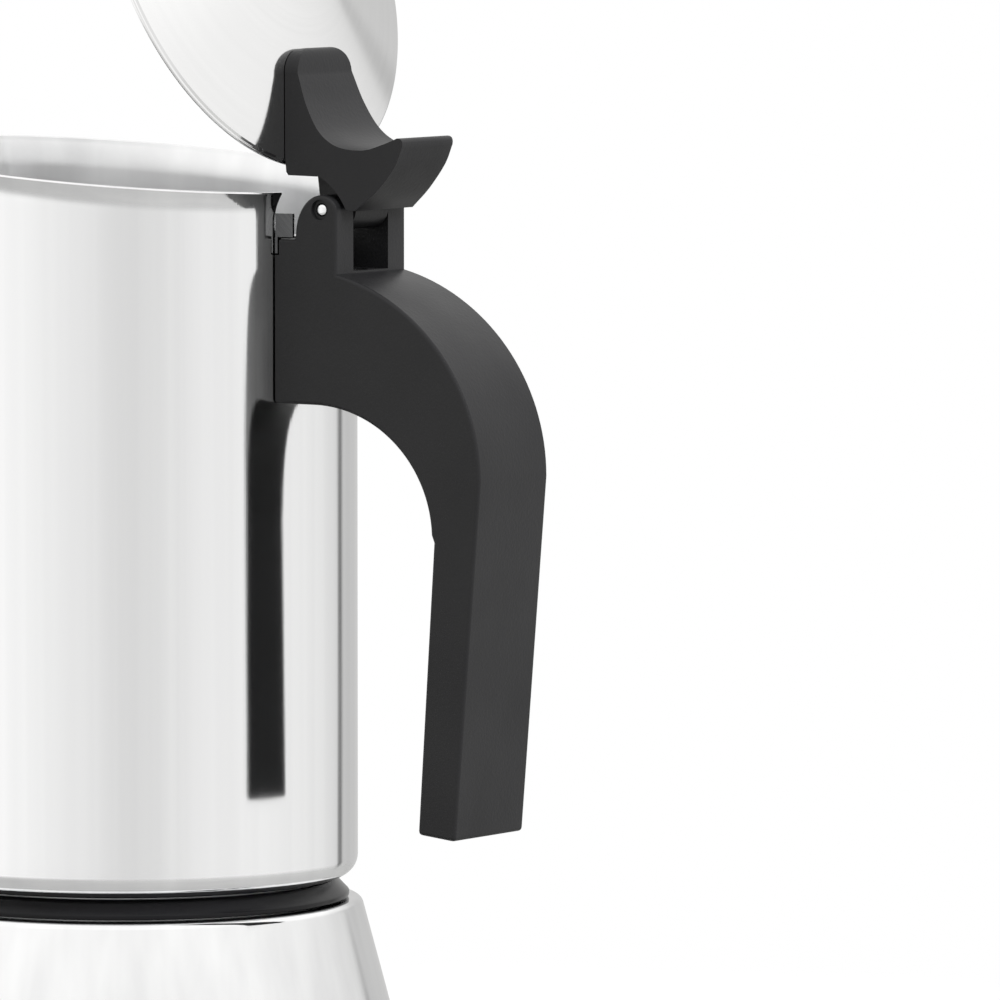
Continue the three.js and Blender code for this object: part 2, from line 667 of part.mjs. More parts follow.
// The lever's side view. It lies on the lid's cone, and its other points are measured from the pin.
function leverOutline() {
  const lift = gap / Math.cos(lid.coneAngle);
  const innerRadius = lever.footRadius - lever.footLength * Math.cos(lid.coneAngle);
  const heel = onOpenLid(lever.footRadius, lidHeight(lever.footRadius) + lift);
  const toe = onOpenLid(innerRadius, lidHeight(innerRadius) + lift);
  const fromPin = (x, z) => at(pin.x + x, pin.z + z);
  const outline = new THREE.Shape();
  outline.moveTo(heel.x, heel.y);
  outline.lineTo(pin.x - 7.1, pin.z + 5.7);
  outline.lineTo(pin.x - 0.8, pin.z + 5.6);
  outline.quadraticCurveTo(pin.x + 2.6, pin.z + 4, pin.x + 4.4, pin.z);
  outline.lineTo(pin.x + 6, pin.z - 0.1);
  outline.splineThru([fromPin(10.7, 3.6), fromPin(14.6, 7.8), fromPin(16.3, 11.2)]);
  outline.quadraticCurveTo(pin.x + 16.3, pin.z + 12.6, pin.x + 15, pin.z + 12.5);
  outline.splineThru([
    fromPin(11.8, 11.2),
    fromPin(7.7, 10.2),
    fromPin(3.2, 10.8),
    fromPin(-0.4, 13.1),
    fromPin(-3.3, 17.6),
    fromPin(-5.6, 23),
  ]);
  outline.quadraticCurveTo(toe.x + 1.8, toe.y + 1.8, toe.x + 0.3, toe.y + 1);
  outline.lineTo(toe.x, toe.y);
  return outline;
}

// The lever is widest over the hinge and narrows towards its toe and towards the thumb's tip.
function leverHalfWidth(x, z) {
  const towardsToe = smooth(z, pin.z + 13, pin.z + 27);
  const towardsTip = smooth(x, pin.x - 1, pin.x + 14);
  const { halfWidth, topHalfWidth, tipHalfWidth } = lever;
  return halfWidth - (halfWidth - topHalfWidth) * towardsToe - (halfWidth - tipHalfWidth) * towardsTip;
}

function makeLever() {
  const wings = displace(extrudeSideways(leverOutline(), 1, 0, 6), (p) => {
    p.y *= leverHalfWidth(p.x, p.z);
  });
  const hub = new THREE.CylinderGeometry(leverHub.radius, leverHub.radius, 2 * leverHub.halfWidth, 24);
  const web = new THREE.Shape([
    at(pin.x - leverHub.radius, pin.z),
    at(pin.x + leverHub.radius, pin.z),
    at(pin.x + leverHub.radius + 1.6, pin.z + 5),
    at(pin.x - leverHub.radius - 0.8, pin.z + 6.5),
  ]);
  const blank = join(wings, hub.translate(pin.x, 0, pin.z), extrudeSideways(web, leverHub.halfWidth, 0));
  const bore = new THREE.CylinderGeometry(pin.bore, pin.bore, 30, 16).translate(pin.x, 0, pin.z);
  const holes = leverScrew.places.map((place) => {
    const hole = ring(0, leverHub.screwHole, -2, leverScrew.reach + 0.4, 14);
    return screwFrame(hole, place).applyMatrix4(lidGroup.matrixWorld);
  });
  return cut(blank, bore, ...holes);
}

// ---- the assembly ----
addMesh("boiler_shell", makeBoilerShell(), polishedSteel);
addMesh("boiler_base", makeBaseDisc(), satinSteel);
addMesh("boiler_neck", makeNeck(), satinSteel);
addMesh("joint_ring", makeJointRing(), blackRubber);
addMesh("valve_body", makeValveBody(), brass, valveGroup);
addMesh("valve_washer", ring(valve.radius + gap, valve.hexRadius + 0.6, 0.35, 1.4, 32), blackRubber, valveGroup);
addMesh("valve_nut", makeValveNut(), brass, valveGroup);
addMesh("valve_cap", makeValveCap(), brass, valveGroup);
addMesh("valve_plunger", makePlunger(), satinSteel, valveGroup);
addMesh("valve_spring", makeSpring(), satinSteel, valveGroup);
addMesh("funnel_basket", makeBasket(), satinSteel);
addMesh("funnel_tube", makeFunnelTube(), satinSteel);
addMesh("funnel_filter", makeBasketFilter(), satinSteel);
addMesh("gasket", makeGasket(), silicone);
addMesh("filter_plate", makeFilterPlate(), satinSteel);
addMesh("collector_body", makeCollectorBody(), polishedSteel);
addMesh("thread_collar", makeThreadCollar(), satinSteel);
addMesh("collector_floor", makeCollectorFloor(), satinSteel);
addMesh("riser_column", makeRiser(), satinSteel);
addMesh("riser_cap", makeRiserCap(), satinSteel);
addMesh("handle_strap", makeStrap(), satinSteel);
addMesh("handle", makeHandle(), blackPlastic);
addMesh("handle_screw", makeHandleScrew(), satinSteel);
addMesh("handle_nut", makeHandleNut(), satinSteel);
addMesh("hinge_pin", makePin(), polishedSteel);
addMesh("lid", makeLid(), polishedSteel, lidGroup);
addMesh("lid_lever", makeLever(), blackPlastic);
leverScrew.places.forEach((place, i) => addMesh(`lever_screw_${i + 1}`, makeLeverScrew(place), satinSteel, lidGroup));

export default root;
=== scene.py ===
import json
import math
import bmesh
import bpy
from mathutils import Matrix, Vector


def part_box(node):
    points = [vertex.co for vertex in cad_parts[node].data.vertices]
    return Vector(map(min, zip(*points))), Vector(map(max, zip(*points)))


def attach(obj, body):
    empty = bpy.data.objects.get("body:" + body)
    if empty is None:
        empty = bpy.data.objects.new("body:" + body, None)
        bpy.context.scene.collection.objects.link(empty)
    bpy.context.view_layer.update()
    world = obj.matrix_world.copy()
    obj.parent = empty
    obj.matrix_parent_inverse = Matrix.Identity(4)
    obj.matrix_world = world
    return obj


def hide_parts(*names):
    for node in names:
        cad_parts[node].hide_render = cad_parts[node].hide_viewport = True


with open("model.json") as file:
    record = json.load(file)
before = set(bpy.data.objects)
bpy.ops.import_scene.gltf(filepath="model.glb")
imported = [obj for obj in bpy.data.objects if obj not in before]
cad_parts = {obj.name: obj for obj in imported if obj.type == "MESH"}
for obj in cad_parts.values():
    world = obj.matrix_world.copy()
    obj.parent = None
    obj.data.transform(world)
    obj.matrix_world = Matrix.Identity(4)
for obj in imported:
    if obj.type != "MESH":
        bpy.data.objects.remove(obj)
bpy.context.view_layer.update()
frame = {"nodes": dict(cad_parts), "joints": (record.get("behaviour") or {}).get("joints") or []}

print("frame loaded:", len(frame["nodes"]), "nodes")

scene = bpy.context.scene
scene.view_settings.view_transform = "Standard"
mm = 0.001
gap = 0.3 * mm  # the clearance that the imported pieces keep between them
sheet = 0.6 * mm  # the thickness of most of the pressed steel
pinBore, cutterReach, cutterTop = 1.15 * mm, 20 * mm, 200 * mm
joints = {joint["name"]: joint for joint in frame["joints"]}
pinPlace = Vector(joints["lid_hinge"]["pos_m"])
valveAxis = Vector(joints["valve_slide"]["axis"]).normalized()


def addNode(tree, kind, inputs=None, **settings):
    node = tree.nodes.new(kind)
    for name, value in settings.items():
        setattr(node, name, value)
    for key, value in (inputs or {}).items():
        if isinstance(value, bpy.types.NodeSocket):
            tree.links.new(value, node.inputs[key])
        else:
            node.inputs[key].default_value = value
    return node


def math1(tree, operation, a, b=0.0, clamp=False):
    return addNode(tree, "ShaderNodeMath", {0: a, 1: b}, operation=operation, use_clamp=clamp).outputs[0]


def vectorMath(tree, operation, a, b=None, output=0):
    inputs = {0: a} if b is None else {0: a, 1: b}
    return addNode(tree, "ShaderNodeVectorMath", inputs, operation=operation).outputs[output]


def flatRadius(tree, vector):
    flat = vectorMath(tree, "MULTIPLY", vector, (1.0, 1.0, 0.0))
    return vectorMath(tree, "LENGTH", flat, output="Value")


def splitVector(tree, vector):
    return addNode(tree, "ShaderNodeSeparateXYZ", {0: vector}).outputs


def joinVector(tree, x=0.0, y=0.0, z=0.0):
    return addNode(tree, "ShaderNodeCombineXYZ", {0: x, 1: y, 2: z}).outputs[0]


def noiseAt(tree, vector, scale, detail=2.0):
    return addNode(tree, "ShaderNodeTexNoise", {
        "Vector": vector, "Scale": scale, "Detail": detail}).outputs[0]


def mapTo(tree, value, low, high, fromLow=0.0, fromHigh=1.0, smooth=False):
    kind = "SMOOTHSTEP" if smooth else "LINEAR"
    return addNode(tree, "ShaderNodeMapRange", {
        "Value": value, "From Min": fromLow, "From Max": fromHigh, "To Min": low, "To Max": high},
        interpolation_type=kind).outputs[0]


def positionOf(tree):
    return addNode(tree, "GeometryNodeInputPosition").outputs[0]


def newGroup(name, kind, inputs, outputs):
    tree = bpy.data.node_groups.new(name, kind)
    for label, socketType, value in inputs:
        socket = tree.interface.new_socket(label, in_out="INPUT", socket_type=socketType)
        if value is not None:
            socket.default_value = value
    for label, socketType in outputs:
        tree.interface.new_socket(label, in_out="OUTPUT", socket_type=socketType)
    return tree, tree.nodes.new("NodeGroupInput").outputs, tree.nodes.new("NodeGroupOutput")


floatSocket, intSocket, vectorSocket = "NodeSocketFloat", "NodeSocketInt", "NodeSocketVector"
geometrySocket, materialSocket = "NodeSocketGeometry", "NodeSocketMaterial"


def finishTree(tree, geometry, material, output):
    realized = addNode(tree, "GeometryNodeRealizeInstances", {"Geometry": geometry}).outputs[0]
    smooth = addNode(tree, "GeometryNodeSetShadeSmooth",
                     {"Geometry": realized, "Shade Smooth": True}).outputs[0]
    painted = addNode(tree, "GeometryNodeSetMaterial", {"Geometry": smooth, "Material": material}).outputs[0]
    tree.links.new(painted, output.inputs[0])


def makeTurnedTree():
    # turns a side profile about Z: a grid of profile points by angle, rolled up and welded
    tree, source, output = newGroup("turnedForm", "GeometryNodeTree", [
        ("Profile", geometrySocket, None), ("Segments", intSocket, 96), ("Profile Points", intSocket, 8),
        ("Material", materialSocket, None)], [("Form", geometrySocket)])
    columns = math1(tree, "ADD", source["Segments"], 1.0)
    grid = addNode(tree, "GeometryNodeMeshGrid", {
        "Size X": 1.0, "Size Y": 1.0, "Vertices X": columns, "Vertices Y": source["Profile Points"]})
    place = splitVector(tree, positionOf(tree))
    lastRow = math1(tree, "SUBTRACT", source["Profile Points"], 1.0)
    row = math1(tree, "ROUND", math1(tree, "MULTIPLY", math1(tree, "ADD", place[1], 0.5), lastRow))
    sample = addNode(tree, "GeometryNodeSampleIndex", {
        "Geometry": source["Profile"], "Value": positionOf(tree), "Index": row},
        data_type="FLOAT_VECTOR", domain="POINT")
    point = splitVector(tree, sample.outputs[0])
    angle = math1(tree, "MULTIPLY", math1(tree, "ADD", place[0], 0.5), 2 * math.pi)
    across = math1(tree, "MULTIPLY", point[0], math1(tree, "COSINE", angle))
    along = math1(tree, "MULTIPLY", point[0], math1(tree, "SINE", angle))
    target = joinVector(tree, across, along, point[2])
    rolled = addNode(tree, "GeometryNodeSetPosition",
                     {"Geometry": grid.outputs["Mesh"], "Position": target}).outputs[0]
    welded = addNode(tree, "GeometryNodeMergeByDistance", {"Geometry": rolled, "Distance": 1e-6}).outputs[0]
    finishTree(tree, welded, source["Material"], output)
    return tree


def makeMouthTree():
    # tilts the top of a wall so that its mouth rises towards -X, and presses a spout out of it there
    names = ["Rim Height", "Rim Slope", "Bend From", "Bend To", "Spout Reach", "Spout Lift",
             "Spout Half Angle",
             "Spout Height", "Spout Power"]
    tree, source, output = newGroup("pouringMouth", "GeometryNodeTree", [
        ("Wall", geometrySocket, None), *[(name, floatSocket, 0.1) for name in names],
        ("Material", materialSocket, None)], [("Wall", geometrySocket)])
    position = positionOf(tree)
    place = splitVector(tree, position)
    radius = flatRadius(tree, position)
    angle = math1(tree, "ARCTAN2", place[1], math1(tree, "MULTIPLY", place[0], -1.0))
    share = math1(tree, "DIVIDE", math1(tree, "ABSOLUTE", angle), source["Spout Half Angle"], clamp=True)
    bulge = math1(tree, "POWER", math1(tree, "COSINE", math1(tree, "MULTIPLY", share, math.pi / 2)), 2.0)
    below = math1(tree, "DIVIDE", math1(tree, "SUBTRACT", source["Rim Height"], place[2]),
                  source["Spout Height"])
    rise = math1(tree, "POWER", math1(tree, "SUBTRACT", 1.0, below, clamp=True), source["Spout Power"])
    push = math1(tree, "MULTIPLY", bulge, rise)
    bend = mapTo(tree, place[2], 0.0, 1.0, source["Bend From"], source["Bend To"], smooth=True)
    lift = math1(tree, "MULTIPLY", push, source["Spout Lift"])
    tilt = math1(tree, "MULTIPLY", math1(tree, "MULTIPLY", bend, source["Rim Slope"]), place[0])
    height = math1(tree, "SUBTRACT", math1(tree, "ADD", place[2], lift), tilt)
    stretch = math1(tree, "ADD", math1(tree, "DIVIDE", math1(tree, "MULTIPLY", push, source["Spout Reach"]),
                                       radius), 1.0)
    across, along = (math1(tree, "MULTIPLY", place[i], stretch) for i in (0, 1))
    target = joinVector(tree, across, along, height)
    moved = addNode(tree, "GeometryNodeSetPosition",
                    {"Geometry": source["Wall"], "Position": target}).outputs[0]
    finishTree(tree, moved, source["Material"], output)
    return tree


def makeCoilTree():
    # sweeps a small closed section along a helix about Z: threads and springs
    tree, source, output = newGroup("helicalSweep", "GeometryNodeTree", [
        ("Section", geometrySocket, None), ("Turns", floatSocket, 1.0), ("Radius", floatSocket, 0.03),
        ("Rise", floatSocket, 0.003), ("Start Height", floatSocket, 0.0), ("Start Angle", floatSocket, 0.0),
        ("Steps", intSocket, 96), ("Material", materialSocket, None)], [("Coil", geometrySocket)])
    spiral = addNode(tree, "GeometryNodeCurveSpiral", {
        "Resolution": source["Steps"], "Rotations": source["Turns"], "Start Radius": source["Radius"],
        "End Radius": source["Radius"], "Height": source["Rise"]}).outputs[0]
    upright = addNode(tree, "GeometryNodeSetCurveNormal", {"Curve": spiral}, mode="Z_UP").outputs[0]
    section = addNode(tree, "GeometryNodeMeshToCurve", {"Mesh": source["Section"]}).outputs[0]
    swept = addNode(tree, "GeometryNodeCurveToMesh", {
        "Curve": upright, "Profile Curve": section, "Fill Caps": True}).outputs[0]
    place = joinVector(tree, z=source["Start Height"])
    turn = joinVector(tree, z=source["Start Angle"])
    moved = addNode(tree, "GeometryNodeTransform",
                    {"Geometry": swept, "Translation": place, "Rotation": turn})
    finishTree(tree, moved.outputs[0], source["Material"], output)
    return tree


def makePerforationTree():
    # drills a staggered field of round holes through a flat disc
    tree, source, output = newGroup("drilledField", "GeometryNodeTree", [
        ("Disc", geometrySocket, None), ("Hole Radius", floatSocket, 0.0005),
        ("Hole Pitch", floatSocket, 0.003),
        ("Field Radius", floatSocket, 0.025), ("Clear Radius", floatSocket, 0.0),
        ("Disc Height", floatSocket, 0.0),
        ("Rows", intSocket, 41), ("Material", materialSocket, None)], [("Disc", geometrySocket)])
    lastRow = math1(tree, "SUBTRACT", source["Rows"], 1.0)
    acrossSize = math1(tree, "MULTIPLY", lastRow, source["Hole Pitch"])
    alongSize = math1(tree, "MULTIPLY", acrossSize, math.sqrt(3) / 2)
    grid = addNode(tree, "GeometryNodeMeshGrid", {
        "Size X": acrossSize, "Size Y": alongSize, "Vertices X": source["Rows"],
        "Vertices Y": source["Rows"]})
    place = splitVector(tree, positionOf(tree))
    rowPitch = math1(tree, "MULTIPLY", source["Hole Pitch"], math.sqrt(3) / 2)
    rowNumber = math1(tree, "ROUND", math1(tree, "DIVIDE", place[1], rowPitch))
    shift = math1(tree, "MULTIPLY", math1(tree, "FLOORED_MODULO", rowNumber, 2.0), source["Hole Pitch"])
    offset = joinVector(tree, math1(tree, "MULTIPLY", shift, 0.5), z=source["Disc Height"])
    field = addNode(tree, "GeometryNodeSetPosition", {
        "Geometry": grid.outputs["Mesh"], "Offset": offset}).outputs[0]
    distance = flatRadius(tree, positionOf(tree))
    outside = math1(tree, "GREATER_THAN", distance, source["Field Radius"])
    inside = math1(tree, "LESS_THAN", distance, source["Clear Radius"])
    unwanted = math1(tree, "MAXIMUM", outside, inside)
    kept = addNode(tree, "GeometryNodeDeleteGeometry", {"Geometry": field, "Selection": unwanted},
                   domain="POINT")
    drill = addNode(tree, "GeometryNodeMeshCylinder", {
        "Vertices": 10, "Radius": source["Hole Radius"], "Depth": 0.006}).outputs[0]
    drills = addNode(tree, "GeometryNodeInstanceOnPoints",
                     {"Points": kept.outputs[0], "Instance": drill}).outputs[0]
    loose = addNode(tree, "GeometryNodeRealizeInstances", {"Geometry": drills}).outputs[0]
    cut = addNode(tree, "GeometryNodeMeshBoolean", {"Mesh 1": source["Disc"], "Mesh 2": loose},
                  operation="DIFFERENCE", solver="MANIFOLD")
    finishTree(tree, cut.outputs[0], source["Material"], output)
    return tree


turnedTree, mouthTree = makeTurnedTree(), makeMouthTree()
coilTree, drilledTree = makeCoilTree(), makePerforationTree()


def newObject(name, mesh):
    piece = bpy.data.objects.new(name, mesh)
    scene.collection.objects.link(piece)
    return piece


def polyline(name, points, closed=False):
    # points are (radius, height) pairs, kept as a chain of edges in the XZ plane
    mesh = bpy.data.meshes.new(name)
    edges = [(i, i + 1) for i in range(len(points) - 1)] + ([(len(points) - 1, 0)] if closed else [])
    mesh.from_pydata([(x, 0, z) for x, z in points], edges, [])
    return newObject(name, mesh)


def applyTree(piece, tree, values, material):
    modifier = piece.modifiers.new(tree.name, "NODES")
    modifier.node_group = tree
    sockets = {item.name: item.identifier for item in tree.interface.items_tree if item.in_out == "INPUT"}
    for name, value in values.items():
        modifier[sockets[name]] = value
    modifier[sockets["Material"]] = material
    return bakeModifiers(piece, material)


def bakeModifiers(piece, material=None):
    piece.update_tag()
    graph = bpy.context.evaluated_depsgraph_get()
    mesh = bpy.data.meshes.new_from_object(piece.evaluated_get(graph), depsgraph=graph)
    mesh.name = piece.name
    piece.modifiers.clear()
    piece.data = mesh
    if material and not mesh.materials:
        mesh.materials.append(material)
    return piece


def signedVolume(mesh):
    mesh.calc_loop_triangles()
    points = [v.co for v in mesh.vertices]
    corners = (triangle.vertices for triangle in mesh.loop_triangles)
    return sum(points[a].dot(points[b].cross(points[c])) for a, b, c in corners) / 6


def faceOut(piece):
    if signedVolume(piece.data) < 0:
        piece.data.flip_normals()
    return piece


def creaseByAngle(piece, degrees=32):
    piece.data.shade_smooth()
    piece.data.set_sharp_from_angle(angle=math.radians(degrees))
    return piece


def turnedPiece(name, profile, material, segments=128, closed=True):
    points = [*profile, profile[0]] if closed else profile
    piece = polyline(name, points)
    applyTree(piece, turnedTree, {"Segments": segments, "Profile Points": len(points)}, material)
    return creaseByAngle(faceOut(piece))


def arc(x, z, radius, start, end, steps, radiusZ=None):
    angles = [math.radians(start + (end - start) * i / steps) for i in range(steps + 1)]
    return [(x + radius * math.cos(a), z + (radiusZ or radius) * math.sin(a)) for a in angles]


def near(x, z, *steps):
    # points at steps, in millimetres, from one place of a profile
    return [(x + across * mm, z + up * mm) for across, up in steps]


def roundCorners(points, radii, steps=4):
    # rounds each corner of a closed outline by its own radius
    rounded = []
    for i, corner in enumerate(points):
        radius = radii[i] if isinstance(radii, (list, tuple)) else radii
        here, before, after = Vector(corner), Vector(points[i - 1]), Vector(points[(i + 1) % len(points)])
        back, ahead = (before - here), (after - here)
        if radius <= 0 or back.length < 1e-7 or ahead.length < 1e-7:
            rounded.append(tuple(here))
            continue
        half = back.angle(ahead) / 2
        reach = min(radius / max(math.tan(half), 1e-4), back.length * 0.45, ahead.length * 0.45)
        start, end = here + back.normalized() * reach, here + ahead.normalized() * reach
        for step in range(steps + 1):
            t = step / steps
            rounded.append(tuple(start * (1 - t) ** 2 + here * 2 * t * (1 - t) + end * t ** 2))
    return rounded


def extruded(name, outline, halfWidth, material, middle=0.0):
    # a flat XZ outline carried to both sides of Y = middle
    mesh = bpy.data.meshes.new(name)
    count = len(outline)
    points = [(x, middle + side * halfWidth, z) for side in (-1, 1) for x, z in outline]
    faces = [list(range(count)), list(range(2 * count - 1, count - 1, -1))]
    faces += [[i, i + count, (i + 1) % count + count, (i + 1) % count] for i in range(count)]
    mesh.from_pydata(points, [], faces)
    mesh.materials.append(material)
    return faceOut(newObject(name, mesh))


def moveMesh(piece, matrix):
    piece.data.transform(matrix)
    piece.data.update()
    return piece


def combine(piece, other, operation):
    modifier = piece.modifiers.new("combine", "BOOLEAN")
    modifier.object, modifier.operation, modifier.solver = other, operation, "EXACT"
    bakeModifiers(piece)
    bpy.data.objects.remove(other)
    return piece


def bevelled(piece, width, segments=3, degrees=30):
    modifier = piece.modifiers.new("edges", "BEVEL")
    modifier.width, modifier.segments, modifier.limit_method = width, segments, "ANGLE"
    modifier.angle_limit = math.radians(degrees)
    modifier.use_clamp_overlap = True
    modifier.harden_normals = False
    return bakeModifiers(piece)


def weightNormals(piece):
    modifier = piece.modifiers.new("evenShading", "WEIGHTED_NORMAL")
    modifier.keep_sharp, modifier.weight = True, 60
    return bakeModifiers(piece)


def cleanMesh(piece, distance=2e-6):
    mesh = bmesh.new()
    mesh.from_mesh(piece.data)
    bmesh.ops.remove_doubles(mesh, verts=mesh.verts, dist=distance)
    bmesh.ops.dissolve_degenerate(mesh, edges=mesh.edges, dist=distance)
    mesh.to_mesh(piece.data)
    mesh.free()
    return piece


def cylinder(name, radius, bottom, top, material, segments=48, axisMatrix=None):
    piece = turnedPiece(name, [(0, bottom), (radius, bottom), (radius, top), (0, top)], material, segments,
                        closed=False)
    return moveMesh(piece, axisMatrix) if axisMatrix else piece


def place(piece, body, slot, *nodes):
    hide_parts(*nodes)
    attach(piece, body)
    return piece


print("tools ready")


def makeBrushGroup():
    # fine parallel scratches: noise stretched along the group's own Z
    tree, source, output = newGroup("fineBrushing", "ShaderNodeTree", [
        ("Vector", vectorSocket, None), ("Across", floatSocket, 900.0), ("Along", floatSocket, 9.0),
        ("Contrast", floatSocket, 1.0)], [("Height", floatSocket), ("Streak", floatSocket)])
    scale = joinVector(tree, source["Across"], source["Across"], source["Along"])
    stretched = vectorMath(tree, "MULTIPLY", source["Vector"], scale)
    fine = noiseAt(tree, stretched, 1.0, 4.0)
    broad = noiseAt(tree, stretched, 0.14)
    tree.links.new(math1(tree, "MULTIPLY", fine, source["Contrast"]), output.inputs[0])
    tree.links.new(mapTo(tree, broad, 0.0, 1.0, 0.35, 0.68), output.inputs[1])
    return tree


def makeTurnMarkGroup():
    # rings round the group's own Z axis, as polishing on a spindle leaves
    tree, source, output = newGroup("spindleMarks", "ShaderNodeTree", [
        ("Vector", vectorSocket, None), ("Rings", floatSocket, 1400.0)], [("Height", floatSocket)])
    radius = flatRadius(tree, source["Vector"])
    height = splitVector(tree, source["Vector"])[2]
    line = math1(tree, "MULTIPLY", math1(tree, "ADD", radius, height), source["Rings"])
    place = vectorMath(tree, "MULTIPLY", source["Vector"], (25.0, 25.0, 25.0))
    mixed = vectorMath(tree, "ADD", place, joinVector(tree, line))
    tree.links.new(noiseAt(tree, mixed, 1.0), output.inputs[0])
    return tree


def makeWearGroup():
    # soft smudges with a few thin stray scratches
    tree, source, output = newGroup("handlingMarks", "ShaderNodeTree", [
        ("Vector", vectorSocket, None), ("Smudge Size", floatSocket, 45.0),
        ("Scratch Size", floatSocket, 160.0)],
        [("Smudge", floatSocket), ("Scratch", floatSocket)])
    soft = noiseAt(tree, source["Vector"], source["Smudge Size"], 3.0)
    soft.node.inputs["Roughness"].default_value = 0.55
    smudge = mapTo(tree, soft, 0.0, 1.0, 0.42, 0.72)
    bent = noiseAt(tree, source["Vector"], source["Scratch Size"], 1.0)
    line = math1(tree, "ABSOLUTE", math1(tree, "SUBTRACT", bent, 0.5))
    scratch = mapTo(tree, line, 1.0, 0.0, 0.0, 0.006)
    sparse = math1(tree, "MULTIPLY", scratch, math1(tree, "POWER", smudge, 2.0))
    tree.links.new(smudge, output.inputs[0])
    tree.links.new(sparse, output.inputs[1])
    return tree


def makeGrainGroup():
    # the sparked grain of an injection moulding
    tree, source, output = newGroup("mouldGrain", "ShaderNodeTree", [
        ("Vector", vectorSocket, None), ("Grain Size", floatSocket, 1900.0)],
        [("Height", floatSocket), ("Tone", floatSocket)])
    cells = addNode(tree, "ShaderNodeTexVoronoi", {"Vector": source["Vector"], "Scale": source["Grain Size"]})
    grain = noiseAt(tree, source["Vector"], math1(tree, "MULTIPLY", source["Grain Size"], 0.6), 3.0)
    height = math1(tree, "ADD", math1(tree, "MULTIPLY", cells.outputs[0], 0.5), grain)
    tree.links.new(height, output.inputs[0])
    tree.links.new(noiseAt(tree, source["Vector"], 60.0, 4.0), output.inputs[1])
    return tree


brushGroup, turnMarkGroup = makeBrushGroup(), makeTurnMarkGroup()
wearGroup, grainGroup = makeWearGroup(), makeGrainGroup()


def useGroup(tree, group, inputs):
    return addNode(tree, "ShaderNodeGroup", inputs, node_tree=group).outputs


def startMaterial(name, settings, location=(0, 0, 0), rotation=(0, 0, 0)):
    material = bpy.data.materials.new(name)
    material.use_nodes = True
    tree = material.node_tree
    shader = tree.nodes["Principled BSDF"]
    for key, value in settings.items():
        shader.inputs[key].default_value = value
    coordinate = addNode(tree, "ShaderNodeTexCoord").outputs["Object"]
    mapping = addNode(tree, "ShaderNodeMapping", {
        "Vector": coordinate, "Location": location, "Rotation": rotation}, vector_type="TEXTURE")
    return material, tree, shader, mapping.outputs[0]


def mixValue(tree, factor, first, second):
    return addNode(tree, "ShaderNodeMix", {0: factor, 2: first, 3: second}, data_type="FLOAT").outputs[0]


def mixColour(tree, factor, first, second):
    node = addNode(tree, "ShaderNodeMix", data_type="RGBA")
    tree.links.new(factor, node.inputs[0])
    node.inputs[6].default_value, node.inputs[7].default_value = (*first, 1), (*second, 1)
    return node.outputs[2]


def bump(tree, height, strength, distance, shader):
    node = addNode(tree, "ShaderNodeBump", {"Height": height, "Strength": strength, "Distance": distance})
    tree.links.new(node.outputs[0], shader.inputs["Normal"])


def steelMaterial(name, look, location=(0, 0, 0), rotation=(0, 0, 0)):
    material, tree, shader, vector = startMaterial(name, {"Metallic": 1.0}, location, rotation)
    wear = useGroup(tree, wearGroup, {"Vector": vector, "Smudge Size": look["smudgeSize"]})
    if look["marks"] == "upright":
        marks = useGroup(tree, brushGroup,
                         {"Vector": vector, "Across": look["across"], "Along": look["along"]})
        height, streak = marks[0], marks[1]
    else:
        height = useGroup(tree, turnMarkGroup, {"Vector": vector, "Rings": look["across"]})[0]
        streak = height
    tone = mixColour(tree, streak, look["dark"], look["light"])
    tree.links.new(tone, shader.inputs["Base Color"])
    polished = mapTo(tree, streak, look["roughness"][0], look["roughness"][1])
    dulled = math1(tree, "MULTIPLY_ADD", wear[0], look["smudge"])
    dulled.node.inputs[2].default_value = 0.0
    tree.links.new(polished, dulled.node.inputs[2])
    scratched = math1(tree, "MULTIPLY_ADD", wear[1], look["smudge"] * 1.5)
    tree.links.new(dulled, scratched.node.inputs[2])
    tree.links.new(scratched, shader.inputs["Roughness"])
    bump(tree, height, look["bump"], look["bumpDepth"], shader)
    return material


def plasticMaterial(name, look):
    material, tree, shader, vector = startMaterial(name, {"Specular IOR Level": look["specular"]})
    grain = useGroup(tree, grainGroup, {"Vector": vector, "Grain Size": look["grain"]})
    wear = useGroup(tree, wearGroup, {"Vector": vector, "Smudge Size": look["smudgeSize"]})
    tree.links.new(mixColour(tree, grain[1], look["dark"], look["light"]), shader.inputs["Base Color"])
    rough = mapTo(tree, wear[0], look["roughness"][0], look["roughness"][1])
    tree.links.new(rough, shader.inputs["Roughness"])
    bump(tree, grain[0], look["bump"], look["bumpDepth"], shader)
    return material


def wallMaterial(name, look, insideRoughness):
    # the same steel, left duller on every face that looks towards the axis
    material = steelMaterial(name, look)
    tree = material.node_tree
    shader = tree.nodes["Principled BSDF"]
    rough = shader.inputs["Roughness"].links[0].from_socket
    place = addNode(tree, "ShaderNodeTexCoord").outputs["Object"]
    outwards = vectorMath(tree, "NORMALIZE", vectorMath(tree, "MULTIPLY", place, (1.0, 1.0, 0.0)))
    normal = addNode(tree, "ShaderNodeNewGeometry").outputs["True Normal"]
    facing = vectorMath(tree, "DOT_PRODUCT", outwards, normal, output="Value")
    inside = math1(tree, "LESS_THAN", facing, -0.3)
    tree.links.new(mixValue(tree, inside, rough, insideRoughness), shader.inputs["Roughness"])
    return material


